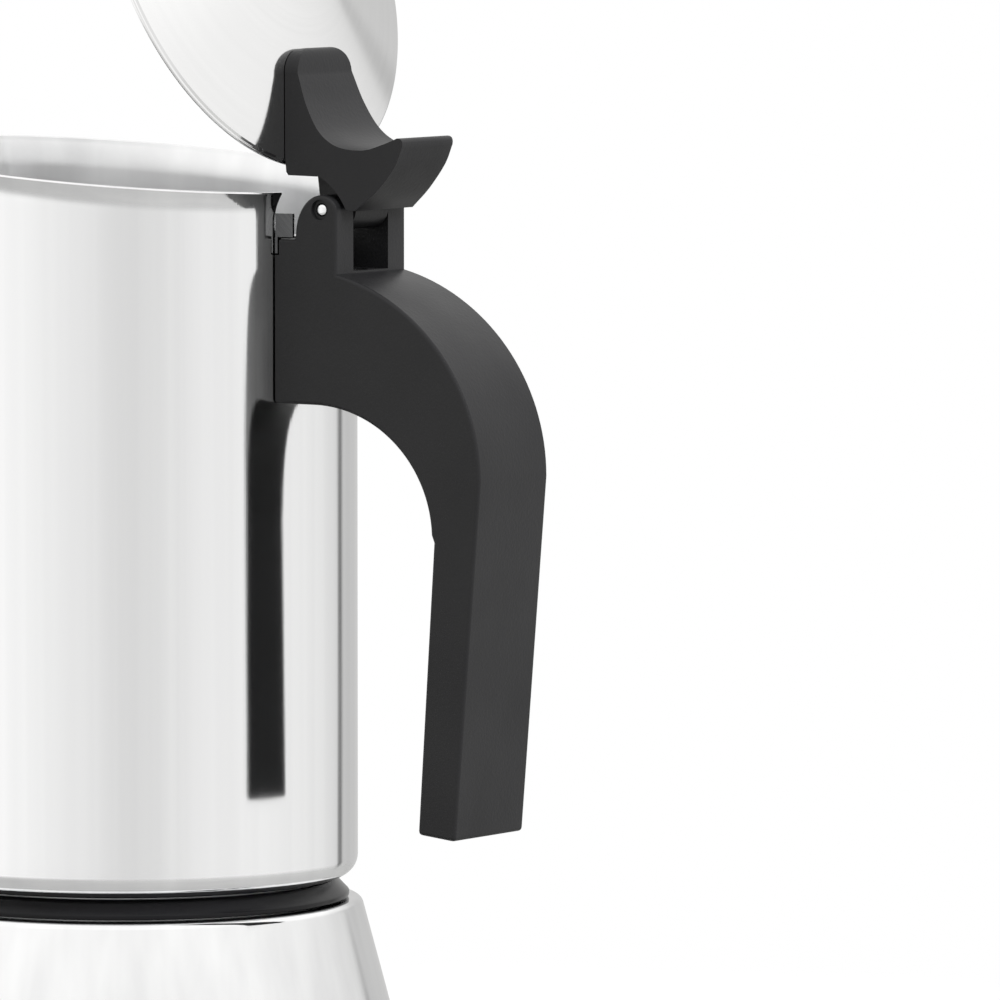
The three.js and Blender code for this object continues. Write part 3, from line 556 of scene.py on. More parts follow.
mirrorLook = {"marks": "upright", "across": 1500.0, "along": 10.0, "dark": (0.80, 0.803, 0.81),
              "light": (0.86, 0.865, 0.87), "roughness": (0.06, 0.10), "smudge": 0.014, "smudgeSize": 26.0,
              "bump": 0.10, "bumpDepth": 0.00006}
satinLook = {"marks": "turned", "across": 1700.0, "along": 0.0, "dark": (0.60, 0.61, 0.62),
             "light": (0.74, 0.745, 0.75), "roughness": (0.22, 0.34), "smudge": 0.08, "smudgeSize": 40.0,
             "bump": 0.25, "bumpDepth": 0.00008}
brassLook = {**satinLook, "dark": (0.60, 0.42, 0.16), "light": (0.78, 0.60, 0.28), "roughness": (0.16, 0.30)}
lidLook = {**mirrorLook, "marks": "turned", "across": 1200.0, "bump": 0.03, "roughness": (0.07, 0.11),
           "dark": (0.86, 0.862, 0.865), "light": (0.91, 0.912, 0.915)}
plasticLook = {"dark": (0.0045, 0.0045, 0.005), "light": (0.0085, 0.0085, 0.009), "roughness": (0.38, 0.5),
               "specular": 0.26, "grain": 1900.0, "smudgeSize": 35.0, "bump": 0.35, "bumpDepth": 0.00008}
# black for the joint ring and the valve washer: on the joint ring this black is partly painted shade,
# standing in for the shadowed gap between the chambers and the dark reflection in the steel shoulder there;
# the valve washer is black rubber
rubberAndGapShadeLook = {**plasticLook, "dark": (0.002, 0.002, 0.0025), "light": (0.004, 0.004, 0.0045),
            "roughness": (0.2, 0.3),
            "specular": 0.18, "grain": 900.0, "bump": 0.12}
siliconeLook = {**plasticLook, "dark": (0.62, 0.60, 0.55), "light": (0.72, 0.70, 0.64),
                "roughness": (0.5, 0.65),
                "grain": 1200.0, "bump": 0.2}

lidForm = {"opening": 64.5, "tilt": 5.1, "rimHeight": 193.5 * mm, "inset": 7 * mm, "radius": 39.4 * mm,
           "coneAngle": 16, "flatRadius": 15 * mm, "bead": 0.55 * mm, "segments": 192}
openTurn = Matrix.Rotation(math.radians(lidForm["opening"]), 4, "Y")
lidInset = lidForm["inset"] / math.cos(math.radians(lidForm["tilt"]))
lidHeightFromPin = lidForm["rimHeight"] - lidInset - pinPlace.z
lidMatrix = (Matrix.Translation(pinPlace) @ openTurn @ Matrix.Translation((-pinPlace.x, 0, lidHeightFromPin))
             @ Matrix.Rotation(math.radians(lidForm["tilt"]), 4, "Y"))
lidTurn = lidMatrix.to_euler()
valveMiddle = sum(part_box("valve_washer"), Vector()) / 2
valveTurn = valveAxis.to_track_quat("Z", "Y").to_euler()

bodySteel = wallMaterial("polishedSteel", mirrorLook, 0.34)
lidSteel = steelMaterial("polishedLidSteel", lidLook, tuple(lidMatrix.translation), tuple(lidTurn))
innerSteel = steelMaterial("satinSteel", satinLook)
strapSteel = steelMaterial("pressedStrapSteel",
                           {**satinLook, "dark": (0.07, 0.071, 0.073), "light": (0.12, 0.121, 0.123)})
valveSteel = steelMaterial("satinValveSteel", satinLook, tuple(valveMiddle), tuple(valveTurn))
brassMaterial = steelMaterial("turnedBrass", brassLook, tuple(valveMiddle), tuple(valveTurn))
blackPlastic = plasticMaterial("blackMoulding", plasticLook)
blackRubberAndGapShade = plasticMaterial("glossyBlackRubberAndGapShade", rubberAndGapShadeLook)
siliconeMaterial = plasticMaterial("paleSilicone", siliconeLook)
print("materials ready")


boilerForm = {"slope": 0.261, "wall": 0.8 * mm, "cornerRadius": 6 * mm, "shoulderRadius": 1.4 * mm,
              "neckHole": 35.5 * mm, "segments": 224}


def makeBoiler():
    low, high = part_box("boiler_shell")
    slope, wall, bend, shoulder = (
        boilerForm[key] for key in ("slope", "wall", "cornerRadius", "shoulderRadius"))
    tilt = math.atan(slope)
    degrees = math.degrees(tilt)
    bendX, bendZ = high.x - bend, low.z + bend
    baseRadius = bendX + bend / math.cos(tilt) + slope * bendZ
    shoulderX = baseRadius - slope * high.z - shoulder
    innerTop = baseRadius - slope * (high.z - shoulder) - wall / math.cos(tilt)
    hole = boilerForm["neckHole"]
    profile = [
        (0, low.z),
        *arc(bendX, bendZ, bend, -90, degrees, 12),
        *arc(shoulderX, high.z - shoulder, shoulder, degrees, 90, 8),
        (hole, high.z), (hole, high.z - wall), (shoulderX, high.z - wall), (innerTop, high.z - 2 * wall),
        *arc(bendX, bendZ, bend - wall, degrees, -90, 12),
        (0, low.z + wall)]
    shell = turnedPiece("boilerWall", profile, bodySteel, boilerForm["segments"], closed=False)
    faceOut(shell)
    drillMatrix = Matrix.Translation(valveMiddle) @ valveTurn.to_matrix().to_4x4()
    drill = cylinder("valveDrill", 4.3 * mm, -7 * mm, 5 * mm, bodySteel, 48, drillMatrix)
    shell = creaseByAngle(cleanMesh(combine(shell, drill, "DIFFERENCE")))
    place(shell, "boiler", "polished_steel", "boiler_shell")

    low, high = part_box("boiler_base")
    radius, edge, foot = high.x, 0.7 * mm, 1.1 * mm
    disc = turnedPiece("boilerFoot", [
        (0, low.z), (radius - 5 * mm, low.z), *arc(radius - edge, low.z + edge, edge, -90, 0, 4),
        *arc(radius - edge, high.z - edge, edge, 0, 90, 4), (radius - 6 * mm, high.z),
        (radius - 7 * mm, high.z - foot * 0.4), (0, high.z - foot * 0.4)], innerSteel, 160, closed=False)
    place(disc, "boiler", "satin_steel", "boiler_base")


threadForm = {"pitch": 3 * mm, "width": 1.5 * mm, "sunk": 0.4 * mm, "crestRadius": 36.5 * mm,
              "innerCrest": 35.6 * mm,
              "startHeight": 71.6 * mm, "startTurn": 0.01, "neckTurns": 1.3, "collarTurns": 1.2}


def threadRidge(name, rootRadius, crestRadius, startTurn, turns, material):
    width, sunk = threadForm["width"], threadForm["sunk"]
    reach = abs(crestRadius - rootRadius) + sunk
    side = 1 if crestRadius > rootRadius else -1
    outline = roundCorners([(0, -width / 2), (reach, -0.2 * mm), (reach, 0.2 * mm), (0, width / 2)],
                           0.18 * mm, 2)
    start = rootRadius - side * sunk
    section = polyline(name, [(-side * x, z) for x, z in outline], closed=True)
    section.data.transform(Matrix.Rotation(-math.pi / 2, 4, "X"))
    applyTree(section, coilTree, {
        "Turns": turns, "Radius": start, "Rise": turns * threadForm["pitch"],
        "Start Height": threadForm["startHeight"], "Start Angle": startTurn * 2 * math.pi, "Steps": 160},
        material)
    return faceOut(section)


def makeThreads():
    low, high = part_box("boiler_neck")
    inner, outer, flange = 33 * mm, 35.2 * mm, 38.5 * mm
    round1 = 0.3 * mm
    neck = turnedPiece("neckTube", [
        (inner, low.z), (flange, low.z), (flange, low.z + 0.9 * mm), (outer, low.z + 0.9 * mm),
        *arc(outer - round1, high.z - round1, round1, 0, 90, 3),
        *arc(inner + round1, high.z - round1, round1, 90, 180, 3)],
        innerSteel, 144)
    ridge = threadRidge("neckRidge", outer, threadForm["crestRadius"], threadForm["startTurn"],
                        threadForm["neckTurns"], innerSteel)
    place(creaseByAngle(cleanMesh(combine(neck, ridge, "UNION"))), "boiler", "satin_steel", "boiler_neck")

    low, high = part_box("thread_collar")
    inner, outer = 36.9 * mm, high.x
    collar = turnedPiece("threadCollar", [
        (inner, low.z), (outer - 1.9 * mm, low.z), (outer, low.z + 2.8 * mm), (outer, high.z),
        (inner, high.z)],
        innerSteel, 144)
    ridge = threadRidge("collarRidge", inner, threadForm["innerCrest"], threadForm["startTurn"] + 0.5,
                        threadForm["collarTurns"], innerSteel)
    place(creaseByAngle(cleanMesh(combine(collar, ridge, "UNION"))), "collector", "satin_steel",
          "thread_collar")


def makeJointRing():
    # a black ring in the joint between the chambers; its black is partly painted shade, standing in for the
    # shadowed gap and the dark reflection of the boiler's steel shoulder
    low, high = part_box("joint_ring")
    inner, bottom, top, edge = 35.6 * mm, high.x, 36.4 * mm, 0.35 * mm
    outline = roundCorners([
        (inner, low.z), (bottom, low.z), (bottom, low.z + 0.8 * mm), (bottom - 0.7 * mm, low.z + 1.5 * mm),
        (top + 0.5 * mm, high.z - 0.5 * mm), (top, high.z), (inner, high.z)],
        [0, edge, edge, edge, edge, edge, 0], 3)
    place(turnedPiece("jointRing", outline, blackRubberAndGapShade, 192), "boiler", "black_rubber", "joint_ring")


makeBoiler()
makeThreads()
makeJointRing()
print("boiler ready")


valveForm = {"hexRadius": 6.2 * mm, "radius": 4 * mm, "bore": 2.9 * mm, "outerEnd": 6.4 * mm, "seat": -5 * mm,
             "springRadius": 1.75 * mm, "wire": 0.25 * mm, "springTurns": 6, "stem": 0.8 * mm,
             "stemEnd": 9.4 * mm, "washerMiddle": 0.875 * mm, "bevel": 0.12 * mm}


def valveFrame():
    # the outer skin of the boiler is at height 0 of the valve's own axis
    low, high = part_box("valve_washer")
    middle = (low + high) / 2 - valveAxis * valveForm["washerMiddle"]
    return Matrix.Translation(middle) @ valveTurn.to_matrix().to_4x4()


def hexPiece(name, radius, bottom, top, material, chamfer):
    # a hexagon bar with its corners turned off at both ends
    corners = [arc(0, 0, radius, 30, 330, 5)] * 2
    points = [(x, y, z) for ring, z in zip(corners, (bottom, top)) for x, y in ring]
    sides = [(i, (i + 1) % 6, (i + 1) % 6 + 6, i + 6) for i in range(6)]
    data = bpy.data.meshes.new(name)
    data.from_pydata(points, [], [(5, 4, 3, 2, 1, 0), (6, 7, 8, 9, 10, 11), *sides])
    data.materials.append(material)
    outer = radius + 0.1 * mm
    turned = turnedPiece(name + "Chamfer", [
        (0, bottom), (radius - chamfer, bottom), (outer, bottom + chamfer * 0.6),
        (outer, top - chamfer * 0.6), (radius - chamfer, top), (0, top)], material, 64, closed=False)
    return combine(newObject(name, data), turned, "INTERSECT")


def makeValve():
    matrix, form = valveFrame(), valveForm
    radius, bore, seat, end, hexRadius = (
        form[key] for key in ("radius", "bore", "seat", "outerEnd", "hexRadius"))

    def finished(piece, bevel=None):
        if bevel:
            piece = creaseByAngle(cleanMesh(bevelled(piece, bevel, 2)))
        return moveMesh(piece, matrix)

    head = hexPiece("valveBody", hexRadius, 1.7 * mm, end, brassMaterial, 0.9 * mm)
    head = combine(head, cylinder("valveShank", radius, -8 * mm, 2.2 * mm, brassMaterial), "UNION")
    head = combine(head, cylinder("valveChamber", bore, seat, end + mm, brassMaterial), "DIFFERENCE")
    head = combine(head, cylinder("valveOrifice", 1.4 * mm, -9 * mm, seat + mm, brassMaterial), "DIFFERENCE")
    place(finished(head, form["bevel"]), "boiler", "brass", "valve_body")

    nut = hexPiece("valveNut", hexRadius + 0.4 * mm, -5 * mm, -1.7 * mm, brassMaterial, 0.8 * mm)
    nut = combine(nut, cylinder("valveNutBore", radius + gap, -6 * mm, 0, brassMaterial), "DIFFERENCE")
    place(finished(nut, form["bevel"]), "boiler", "brass", "valve_nut")

    inner, outer, edge = radius + gap, hexRadius + 0.6 * mm, 0.3 * mm
    bottom, top = 0.35 * mm, 1.4 * mm
    washer = turnedPiece("valveWasher", [
        (inner, bottom), *arc(outer - edge, bottom + edge, edge, -90, 0, 4),
        *arc(outer - edge, top - edge, edge, 0, 90, 4), (inner, top)], blackRubberAndGapShade, 64)
    place(finished(washer), "boiler", "black_rubber", "valve_washer")

    guide, dome, crown = 1.1 * mm, 0.4 * mm, end + 1.2 * mm
    cap = turnedPiece("valveCap", [
        (guide, end - 1.5 * mm), (bore - gap, end - 1.5 * mm), (bore - gap, end + gap), (radius, end + gap),
        *arc(radius - dome, crown - dome, dome, 0, 90, 4), (guide, crown)], brassMaterial, 64)
    place(finished(cap), "boiler", "brass", "valve_cap")

    plate, plateTop, stem, stemEnd = bore - 0.5 * mm, -3.8 * mm, form["stem"], form["stemEnd"]
    tip = arc(0, stemEnd - stem, stem, 10, 90, 6)[:-1]
    plunger = turnedPiece("valvePlunger", [
        (0, seat + gap), (plate, seat + gap), (plate, plateTop), (stem, plateTop), (stem, stemEnd - stem),
        *tip, (0, stemEnd)], valveSteel, 48, closed=False)
    place(finished(plunger), "plunger", "satin_steel", "valve_plunger")

    turns = form["springTurns"]
    spring = polyline("valveSpring", arc(0, 0, form["wire"], 0, 324, 9), closed=True)
    spring.data.transform(Matrix.Rotation(-math.pi / 2, 4, "X"))
    applyTree(spring, coilTree, {
        "Turns": float(turns), "Radius": form["springRadius"], "Rise": 7 * mm, "Start Height": -2.6 * mm,
        "Start Angle": 0.0, "Steps": turns * 24}, valveSteel)
    place(finished(faceOut(spring)), "boiler", "satin_steel", "valve_spring")


filterForm = {"holeRadius": 0.5 * mm, "pitch": 3.1 * mm, "rows": 31}
basketForm = {"throat": 4.3 * mm, "radius": 32.6 * mm, "coneFoot": 57 * mm, "coneDrop": 7 * mm,
              "segments": 160}


def drilledDisc(name, profile, fieldRadius, clearRadius, height):
    disc = turnedPiece(name, profile, innerSteel, 96, closed=False)
    applyTree(disc, drilledTree, {
        "Hole Radius": filterForm["holeRadius"], "Hole Pitch": filterForm["pitch"],
        "Field Radius": fieldRadius,
        "Clear Radius": clearRadius, "Disc Height": height, "Rows": filterForm["rows"]}, innerSteel)
    return creaseByAngle(disc)


def makeFunnel():
    low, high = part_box("funnel_basket")
    throat, radius, foot, drop = (basketForm[key] for key in ("throat", "radius", "coneFoot", "coneDrop"))
    rimRadius, rimTop = high.x, high.z
    basket = turnedPiece("coffeeBasket", [
        (throat, foot - drop), *near(radius, foot, (-1.2, -0.35), (-0.25, 0.5), (0, 1.2)),
        *near(radius, rimTop, (0, -1.2), (0.2, -0.75), (0.6, -0.6)), (rimRadius, rimTop - sheet),
        (rimRadius, rimTop), *near(radius, rimTop, (0.1, 0), (-0.4, -0.25), (-0.6, -0.9)),
        *near(radius, foot, (-0.6, 1.2), (-0.9, 0.6)), (throat, foot - drop + sheet)],
        innerSteel, basketForm["segments"])
    place(basket, "funnel", "satin_steel", "funnel_basket")

    low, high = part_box("funnel_tube")
    lip, outer, inner = high.x, 4 * mm, 3.5 * mm
    shoulder = high.z - sheet - 0.7 * mm
    tube = turnedPiece("funnelTube", [
        (inner, low.z), *near(outer, low.z, (-0.1, 0), (0, 0.15)), (outer, shoulder), (lip, high.z - sheet),
        (lip, high.z), *near(inner, shoulder, (0.3, 0.75), (0, 0))], innerSteel, 64)
    place(tube, "funnel", "satin_steel", "funnel_tube")

    low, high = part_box("funnel_filter")
    plate = drilledDisc("basketFilter", [
        (0, low.z), (high.x, low.z), (high.x, high.z), (0, high.z)], high.x - 3 * mm, 0.0,
        (low.z + high.z) / 2)
    place(plate, "funnel", "satin_steel", "funnel_filter")


def makeSeal():
    low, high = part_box("gasket")
    inner, outer, edge, soft = 27.4 * mm, high.x, 0.6 * mm, 0.3 * mm
    ring = turnedPiece("siliconeGasket", [
        *arc(inner + soft, low.z + soft, soft, 180, 270, 3),
        *arc(outer - edge, low.z + edge, edge, -90, 0, 4),
        *arc(outer - edge, high.z - edge, edge, 0, 90, 4),
        *arc(inner + soft, high.z - soft, soft, 90, 180, 3)],
        siliconeMaterial, 160)
    place(ring, "seal", "silicone", "gasket")

    low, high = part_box("filter_plate")
    dimple, top = 7 * mm, high.z
    plate = drilledDisc("filterPlate", [
        (0, low.z), (dimple, low.z), (dimple + 2 * mm, top - sheet), (high.x, top - sheet), (high.x, top),
        (dimple + 1.6 * mm, top), (dimple - 0.4 * mm, low.z + sheet), (0, low.z + sheet)],
        high.x - 4.5 * mm, dimple + 3 * mm, top - sheet / 2)
    place(plate, "seal", "satin_steel", "filter_plate")


wallForm = {"radius": 40.3 * mm, "cornerRadius": 3.7 * mm, "rimHeight": 193.5 * mm, "flare": 1.5 * mm,
            "flareHeight": 5.2 * mm, "segments": 256, "rows": 20, "firstRow": 100 * mm}
mouthForm = {"Rim Slope": math.tan(math.radians(5.1)), "Bend From": 150 * mm, "Bend To": 184 * mm,
             "Spout Reach": 10 * mm, "Spout Lift": 2 * mm, "Spout Half Angle": math.radians(24),
             "Spout Height": 34 * mm, "Spout Power": 1.6}
notchForm = {"halfWidth": 10.2 * mm, "bottom": 182.5 * mm, "corner": 1.6 * mm}


def makeCollectorWall():
    low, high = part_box("collector_body")
    radius, corner, rimHeight, flare, flareHeight = (
        wallForm[key] for key in ("radius", "cornerRadius", "rimHeight", "flare", "flareHeight"))
    flareFoot, lip = rimHeight - flareHeight, sheet / 2
    steps = [i / 8 for i in range(9)]
    rows, firstRow = wallForm["rows"], wallForm["firstRow"]
    rises = [firstRow + (flareFoot - firstRow) * i / rows for i in range(rows)]
    flareOut = [(radius + flare * t * t, flareFoot + (flareHeight - lip) * t) for t in steps]
    flareIn = [(x - sheet, z) for x, z in flareOut]
    topX = flareOut[-1][0] - lip
    profile = [
        *arc(radius - corner, low.z + corner, corner, -90, 0, 10), *[(radius, z) for z in rises], *flareOut,
        *arc(topX, rimHeight - lip, lip, 20, 160, 5), *flareIn[::-1],
        *[(radius - sheet, z) for z in rises[::-1]],
        *arc(radius - corner, low.z + corner, corner - sheet, 0, -90, 10)]
    wall = turnedPiece("collectorWall", profile, bodySteel, wallForm["segments"])
    applyTree(wall, mouthTree, {"Rim Height": rimHeight, **mouthForm}, bodySteel)
    half, bottom, edge = notchForm["halfWidth"], notchForm["bottom"], notchForm["corner"]
    above = rimHeight + 10 * mm
    outline = roundCorners([(-half, bottom), (half, bottom), (half, above), (-half, above)],
                           [edge, edge, 0, 0], 6)
    cutter = extruded("notchCutter", outline, 6 * mm, bodySteel)
    moveMesh(cutter, Matrix.Translation((radius, 0, 0)) @ Matrix.Rotation(math.pi / 2, 4, "Z"))
    wall = creaseByAngle(cleanMesh(combine(faceOut(wall), faceOut(cutter), "DIFFERENCE")))
    place(wall, "collector", "polished_steel", "collector_body")


def makeCollectorInside():
    low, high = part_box("collector_floor")
    bore, hub, rise = 5.3 * mm, 9 * mm, 3 * mm
    floorPiece = turnedPiece("collectorFloor", [
        (bore, low.z + rise), *near(hub, low.z, (0, 1.1), (2.4, 0.35), (5, 0)), (high.x, low.z),
        (high.x, low.z + sheet), *near(hub, low.z + sheet, (5.2, 0), (2.6, 0.35), (0.2, 1.1)),
        (bore, high.z)],
        innerSteel, 160)
    place(floorPiece, "collector", "satin_steel", "collector_floor")

    low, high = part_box("riser_column")
    foot, radius, wall, edge = high.x, 4.4 * mm, 0.8 * mm, 0.25 * mm
    outside = near(foot, low.z, (-1, 0), (0, 0), (-0.6, 1.2))
    outside += near(radius, low.z, (2.2, 3.6), (1.2, 7), (0.55, 13), (0.15, 19), (0, 24))
    inside = [(x - wall, z) for x, z in outside[3:]]
    riser = turnedPiece("riserColumn", [
        *outside, *arc(radius - edge, high.z - edge, edge, 0, 90, 4),
        *arc(radius - wall + edge, high.z - edge, edge, 90, 180, 4), *inside[::-1],
        *near(foot, low.z, (-2.2, 0.6))], innerSteel, 72)
    place(riser, "collector", "satin_steel", "riser_column")

    low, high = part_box("riser_cap")
    outer, inner = high.x, 4.7 * mm
    cap = turnedPiece("riserCap", [
        (0, high.z - 1.2 * mm), (inner, high.z - 2.6 * mm), (inner, low.z), (outer, low.z),
        *near(outer, high.z, (0, -2.5), (-0.3, -1.5), (-1.1, -0.75), (-2.6, -0.3)), (0, high.z)],
        innerSteel, 72, closed=False)
    corners = near(0, 159 * mm, (-2.2, 0), (2.2, 0), (2.2, 7), (-2.2, 7))
    slot = extruded("capSlot", roundCorners(corners, 1.4 * mm, 5), cutterReach, innerSteel)
    moveMesh(slot, Matrix.Rotation(math.pi / 2, 4, "Z"))
    cap = creaseByAngle(cleanMesh(combine(cap, faceOut(slot), "DIFFERENCE")))
    place(cap, "collector", "satin_steel", "riser_cap")


earForm = {"halfWidth": 10.45 * mm, "gapHalfWidth": 5.2 * mm, "front": 43.3 * mm, "back": 51.8 * mm,
           "shoulder": 182 * mm, "gapFloor": 176.6 * mm, "edge": 0.6 * mm}
armForm = {"root": 36 * mm, "rootBottom": 153.9 * mm, "archX": 47 * mm, "archZ": 132 * mm,
           "archReach": 24.2 * mm,
           "backX": 42.5 * mm, "backRise": 35.3 * mm, "outerZ": 142 * mm, "kneeX": 71.7 * mm,
           "kneeZ": 131.5 * mm,
           "tipInner": 68.5 * mm, "tipOuter": 76 * mm, "edge": 1.9 * mm}


def alongPin():
    return Matrix.Translation(pinPlace) @ Matrix.Rotation(math.pi / 2, 4, "X")


def handleSide():
    low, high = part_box("handle")
    root, rootBottom, archX, archZ, reach, backX, backRise, outerZ, kneeX, kneeZ, tipInner, tipOuter = (
        armForm[key] for key in ("root", "rootBottom", "archX", "archZ", "archReach", "backX", "backRise",
                                 "outerZ", "kneeX", "kneeZ", "tipInner", "tipOuter"))
    soft, knee = 0.8 * mm, (kneeX, kneeZ)
    inner = arc(archX, archZ, reach, 90, 2, 26, rootBottom - archZ)
    outer = arc(backX, outerZ, high.x - backX, 0, 81, 34, backRise)
    tip = roundCorners([knee, (tipInner, low.z + soft), (tipOuter, low.z), (high.x, outerZ)],
                       [0, soft, soft, 0], 4)
    return [(root, rootBottom), *inner, knee, *tip[1:-1], *outer, (root, outerZ + backRise)]


def earSide():
    root, bottom, x, z, shoulder = armForm["root"], 158 * mm, pinPlace.x, pinPlace.z, earForm["shoulder"]
    top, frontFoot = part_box("handle")[1].z, shoulder + 0.6 * mm
    back = arc(x, z, earForm["back"] - x, 0, 90, 10, top - z)
    front = arc(x, frontFoot, x - earForm["front"], 90, 180, 12, top - frontFoot)
    return [(root, bottom), (earForm["back"], bottom), *back, *front[1:], (earForm["front"], shoulder),
            (root, shoulder)]


def blockCutter(name, right, bottom, top, halfWidth):
    left = 30 * mm  # well inside the pot
    corners = [(left, bottom), (right, bottom), (right, top), (left, top)]
    return extruded(name, corners, halfWidth, blackPlastic)


def makeHandle():
    half = earForm["halfWidth"]
    arm = bevelled(extruded("handle", handleSide(), half, blackPlastic), armForm["edge"], 6, 50)
    ears = bevelled(extruded("handleEars", earSide(), half, blackPlastic), earForm["edge"], 3, 50)
    arm = combine(arm, ears, "UNION")
    screwLow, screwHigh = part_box("handle_screw")
    screwPlace = Matrix.Translation(((screwLow.x + screwHigh.x) / 2, 0, 0))
    pinMatrix, recess = alongPin(), (half - 0.6 * mm, half + 2 * mm)
    cutters = [
        blockCutter("hubRoom", 60 * mm, earForm["gapFloor"], cutterTop, earForm["gapHalfWidth"]),
        cylinder("bodySeat", wallForm["radius"] + gap, 140 * mm, cutterTop, blackPlastic, 192),
        cylinder("bandSeat", 41.4 * mm, 179.2 * mm, cutterTop, blackPlastic, 192),
        blockCutter("plateRoom", 41.45 * mm, 156.2 * mm, cutterTop, 9.2 * mm),
        blockCutter("tongueSlot", 52.6 * mm, 165.7 * mm, 167.5 * mm, 5.3 * mm),
        blockCutter("nutRoom", 52 * mm, 162.4 * mm, 166 * mm, 3.9 * mm),
        cylinder("headRoom", 3.6 * mm, 173.9 * mm, cutterTop, blackPlastic, 40, screwPlace),
        cylinder("screwBore", 2.2 * mm, 160.4 * mm, cutterTop, blackPlastic, 40, screwPlace),
        cylinder("pinBore", pinBore, -cutterReach, cutterReach, blackPlastic, 40, pinMatrix),
        cylinder("nearRecess", 1.75 * mm, -recess[1], -recess[0], blackPlastic, 48, pinMatrix),
        cylinder("farRecess", 1.75 * mm, *recess, blackPlastic, 48, pinMatrix)]
    for cutter in cutters:
        arm = combine(arm, cutter, "DIFFERENCE")
    place(weightNormals(creaseByAngle(cleanMesh(arm), 30)), "collector", "black_plastic", "handle")

    low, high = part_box("hinge_pin")
    radius, end, dome = (high.z - low.z) / 2, high.y, 0.45 * mm
    pin = turnedPiece("hingePin", [
        (0, -end), *[(x, -end + dome - z) for x, z in arc(0, 0, radius, 80, 0, 6, dome)],
        *[(x, end - dome + z) for x, z in arc(0, 0, radius, 0, 80, 6, dome)], (0, end)],
        bodySteel, 48, closed=False)
    place(moveMesh(pin, pinMatrix), "collector", "polished_steel", "hinge_pin")


leverForm = {"halfWidth": 9.6 * mm, "taper": 0.11, "taperFrom": 9 * mm, "toeCorner": 4.6 * mm,
             "tipHalfWidth": 7.6 * mm,
             "footRadius": 37.8 * mm, "footLength": 18.4 * mm, "edge": 1.25 * mm, "hubRadius": 3.6 * mm,
             "hubHalfWidth": 4.85 * mm, "footGap": 0.12 * mm, "footSink": 1.2 * mm}


def lidHeight(radius):
    edge = lidForm["radius"] - lidForm["bead"]
    return lidForm["bead"] + (edge - radius) * math.tan(math.radians(lidForm["coneAngle"]))


def makeLid():
    radius, flat, bead, angle = (lidForm[key] for key in ("radius", "flatRadius", "bead", "coneAngle"))
    slope = math.radians(angle)
    crownRadius = flat / math.sin(slope)
    crownHeight = lidHeight(flat) - crownRadius * math.cos(slope)
    crown = arc(0, crownHeight, crownRadius, 90 - angle, 90, 14)
    crown[-1] = (0, crown[-1][1])
    under = sheet / math.cos(slope)
    skirt = [radius - 2 * bead - (radius - 2 * bead - flat) * i / 8 for i in range(1, 8)]
    profile = [
        *[(x, z - under) for x, z in crown[::-1]], *[(x, lidHeight(x) - under) for x in skirt[::-1]],
        (radius - 2 * bead, lidHeight(radius - 2 * bead) - under), (radius - 1.7 * bead, -0.55 * bead),
        (radius - 1.3 * bead, -0.95 * bead), *arc(radius - 0.7 * bead, -0.3 * bead, 0.7 * bead, -90, 90, 8),
        (radius - 1.15 * bead, lidHeight(radius - 1.15 * bead)), *[(x, lidHeight(x)) for x in skirt], *crown]
    lid = turnedPiece("lid", profile, lidSteel, lidForm["segments"], closed=False)
    place(moveMesh(lid, lidMatrix), "lid", "polished_steel", "lid")


def onOpenLid(radius, height):
    point = lidMatrix @ Vector((radius, 0, height))
    return Vector((point.x, point.z))


def smoothStep(value, start, end):
    t = min(max((value - start) / (end - start), 0), 1)
    return t * t * (3 - 2 * t)


def leverFront(top):
    # seen along X: narrows evenly towards the toe and ends there in round corners
    form = leverForm
    half, corner = form["halfWidth"], form["toeCorner"]
    shoulder = top - corner
    atShoulder = half - form["taper"] * (shoulder - pinPlace.z - form["taperFrom"])
    right = [(half, pinPlace.z - 10 * mm), (half, pinPlace.z + form["taperFrom"]),
             *arc(atShoulder - corner, shoulder, corner, 0, 90, 12)]
    return right + [(-x, z) for x, z in right[::-1]]


def leverPlan():
    # seen from above: narrows softly towards the thumb tip
    form = leverForm
    places = [pinPlace.x + (-16 + i) * mm for i in range(33)]
    right = [(x, form["halfWidth"] - (form["halfWidth"] - form["tipHalfWidth"])
              * smoothStep(x, pinPlace.x - 1 * mm, pinPlace.x + 14 * mm)) for x in places]
    return right + [(x, -y) for x, y in right[::-1]]


def splinePoints(points, steps):
    # Catmull-Rom through the points
    padded = [points[0] * 2 - points[1], *points, points[-1] * 2 - points[-2]]
    result = []
    for i in range(1, len(padded) - 2):
        a, b, c, d = padded[i - 1:i + 3]
        for step in range(steps):
            t = step / steps
            result.append(0.5 * (2 * b + (c - a) * t + (2 * a - 5 * b + 4 * c - d) * t * t
                                 + (3 * b - a - 3 * c + d) * t ** 3))
    return result + [points[-1]]


def bow(start, middle, end, steps):
    return [start * (1 - i / steps) ** 2 + middle * 2 * (i / steps) * (1 - i / steps) + end * (i / steps) ** 2
            for i in range(steps + 1)]


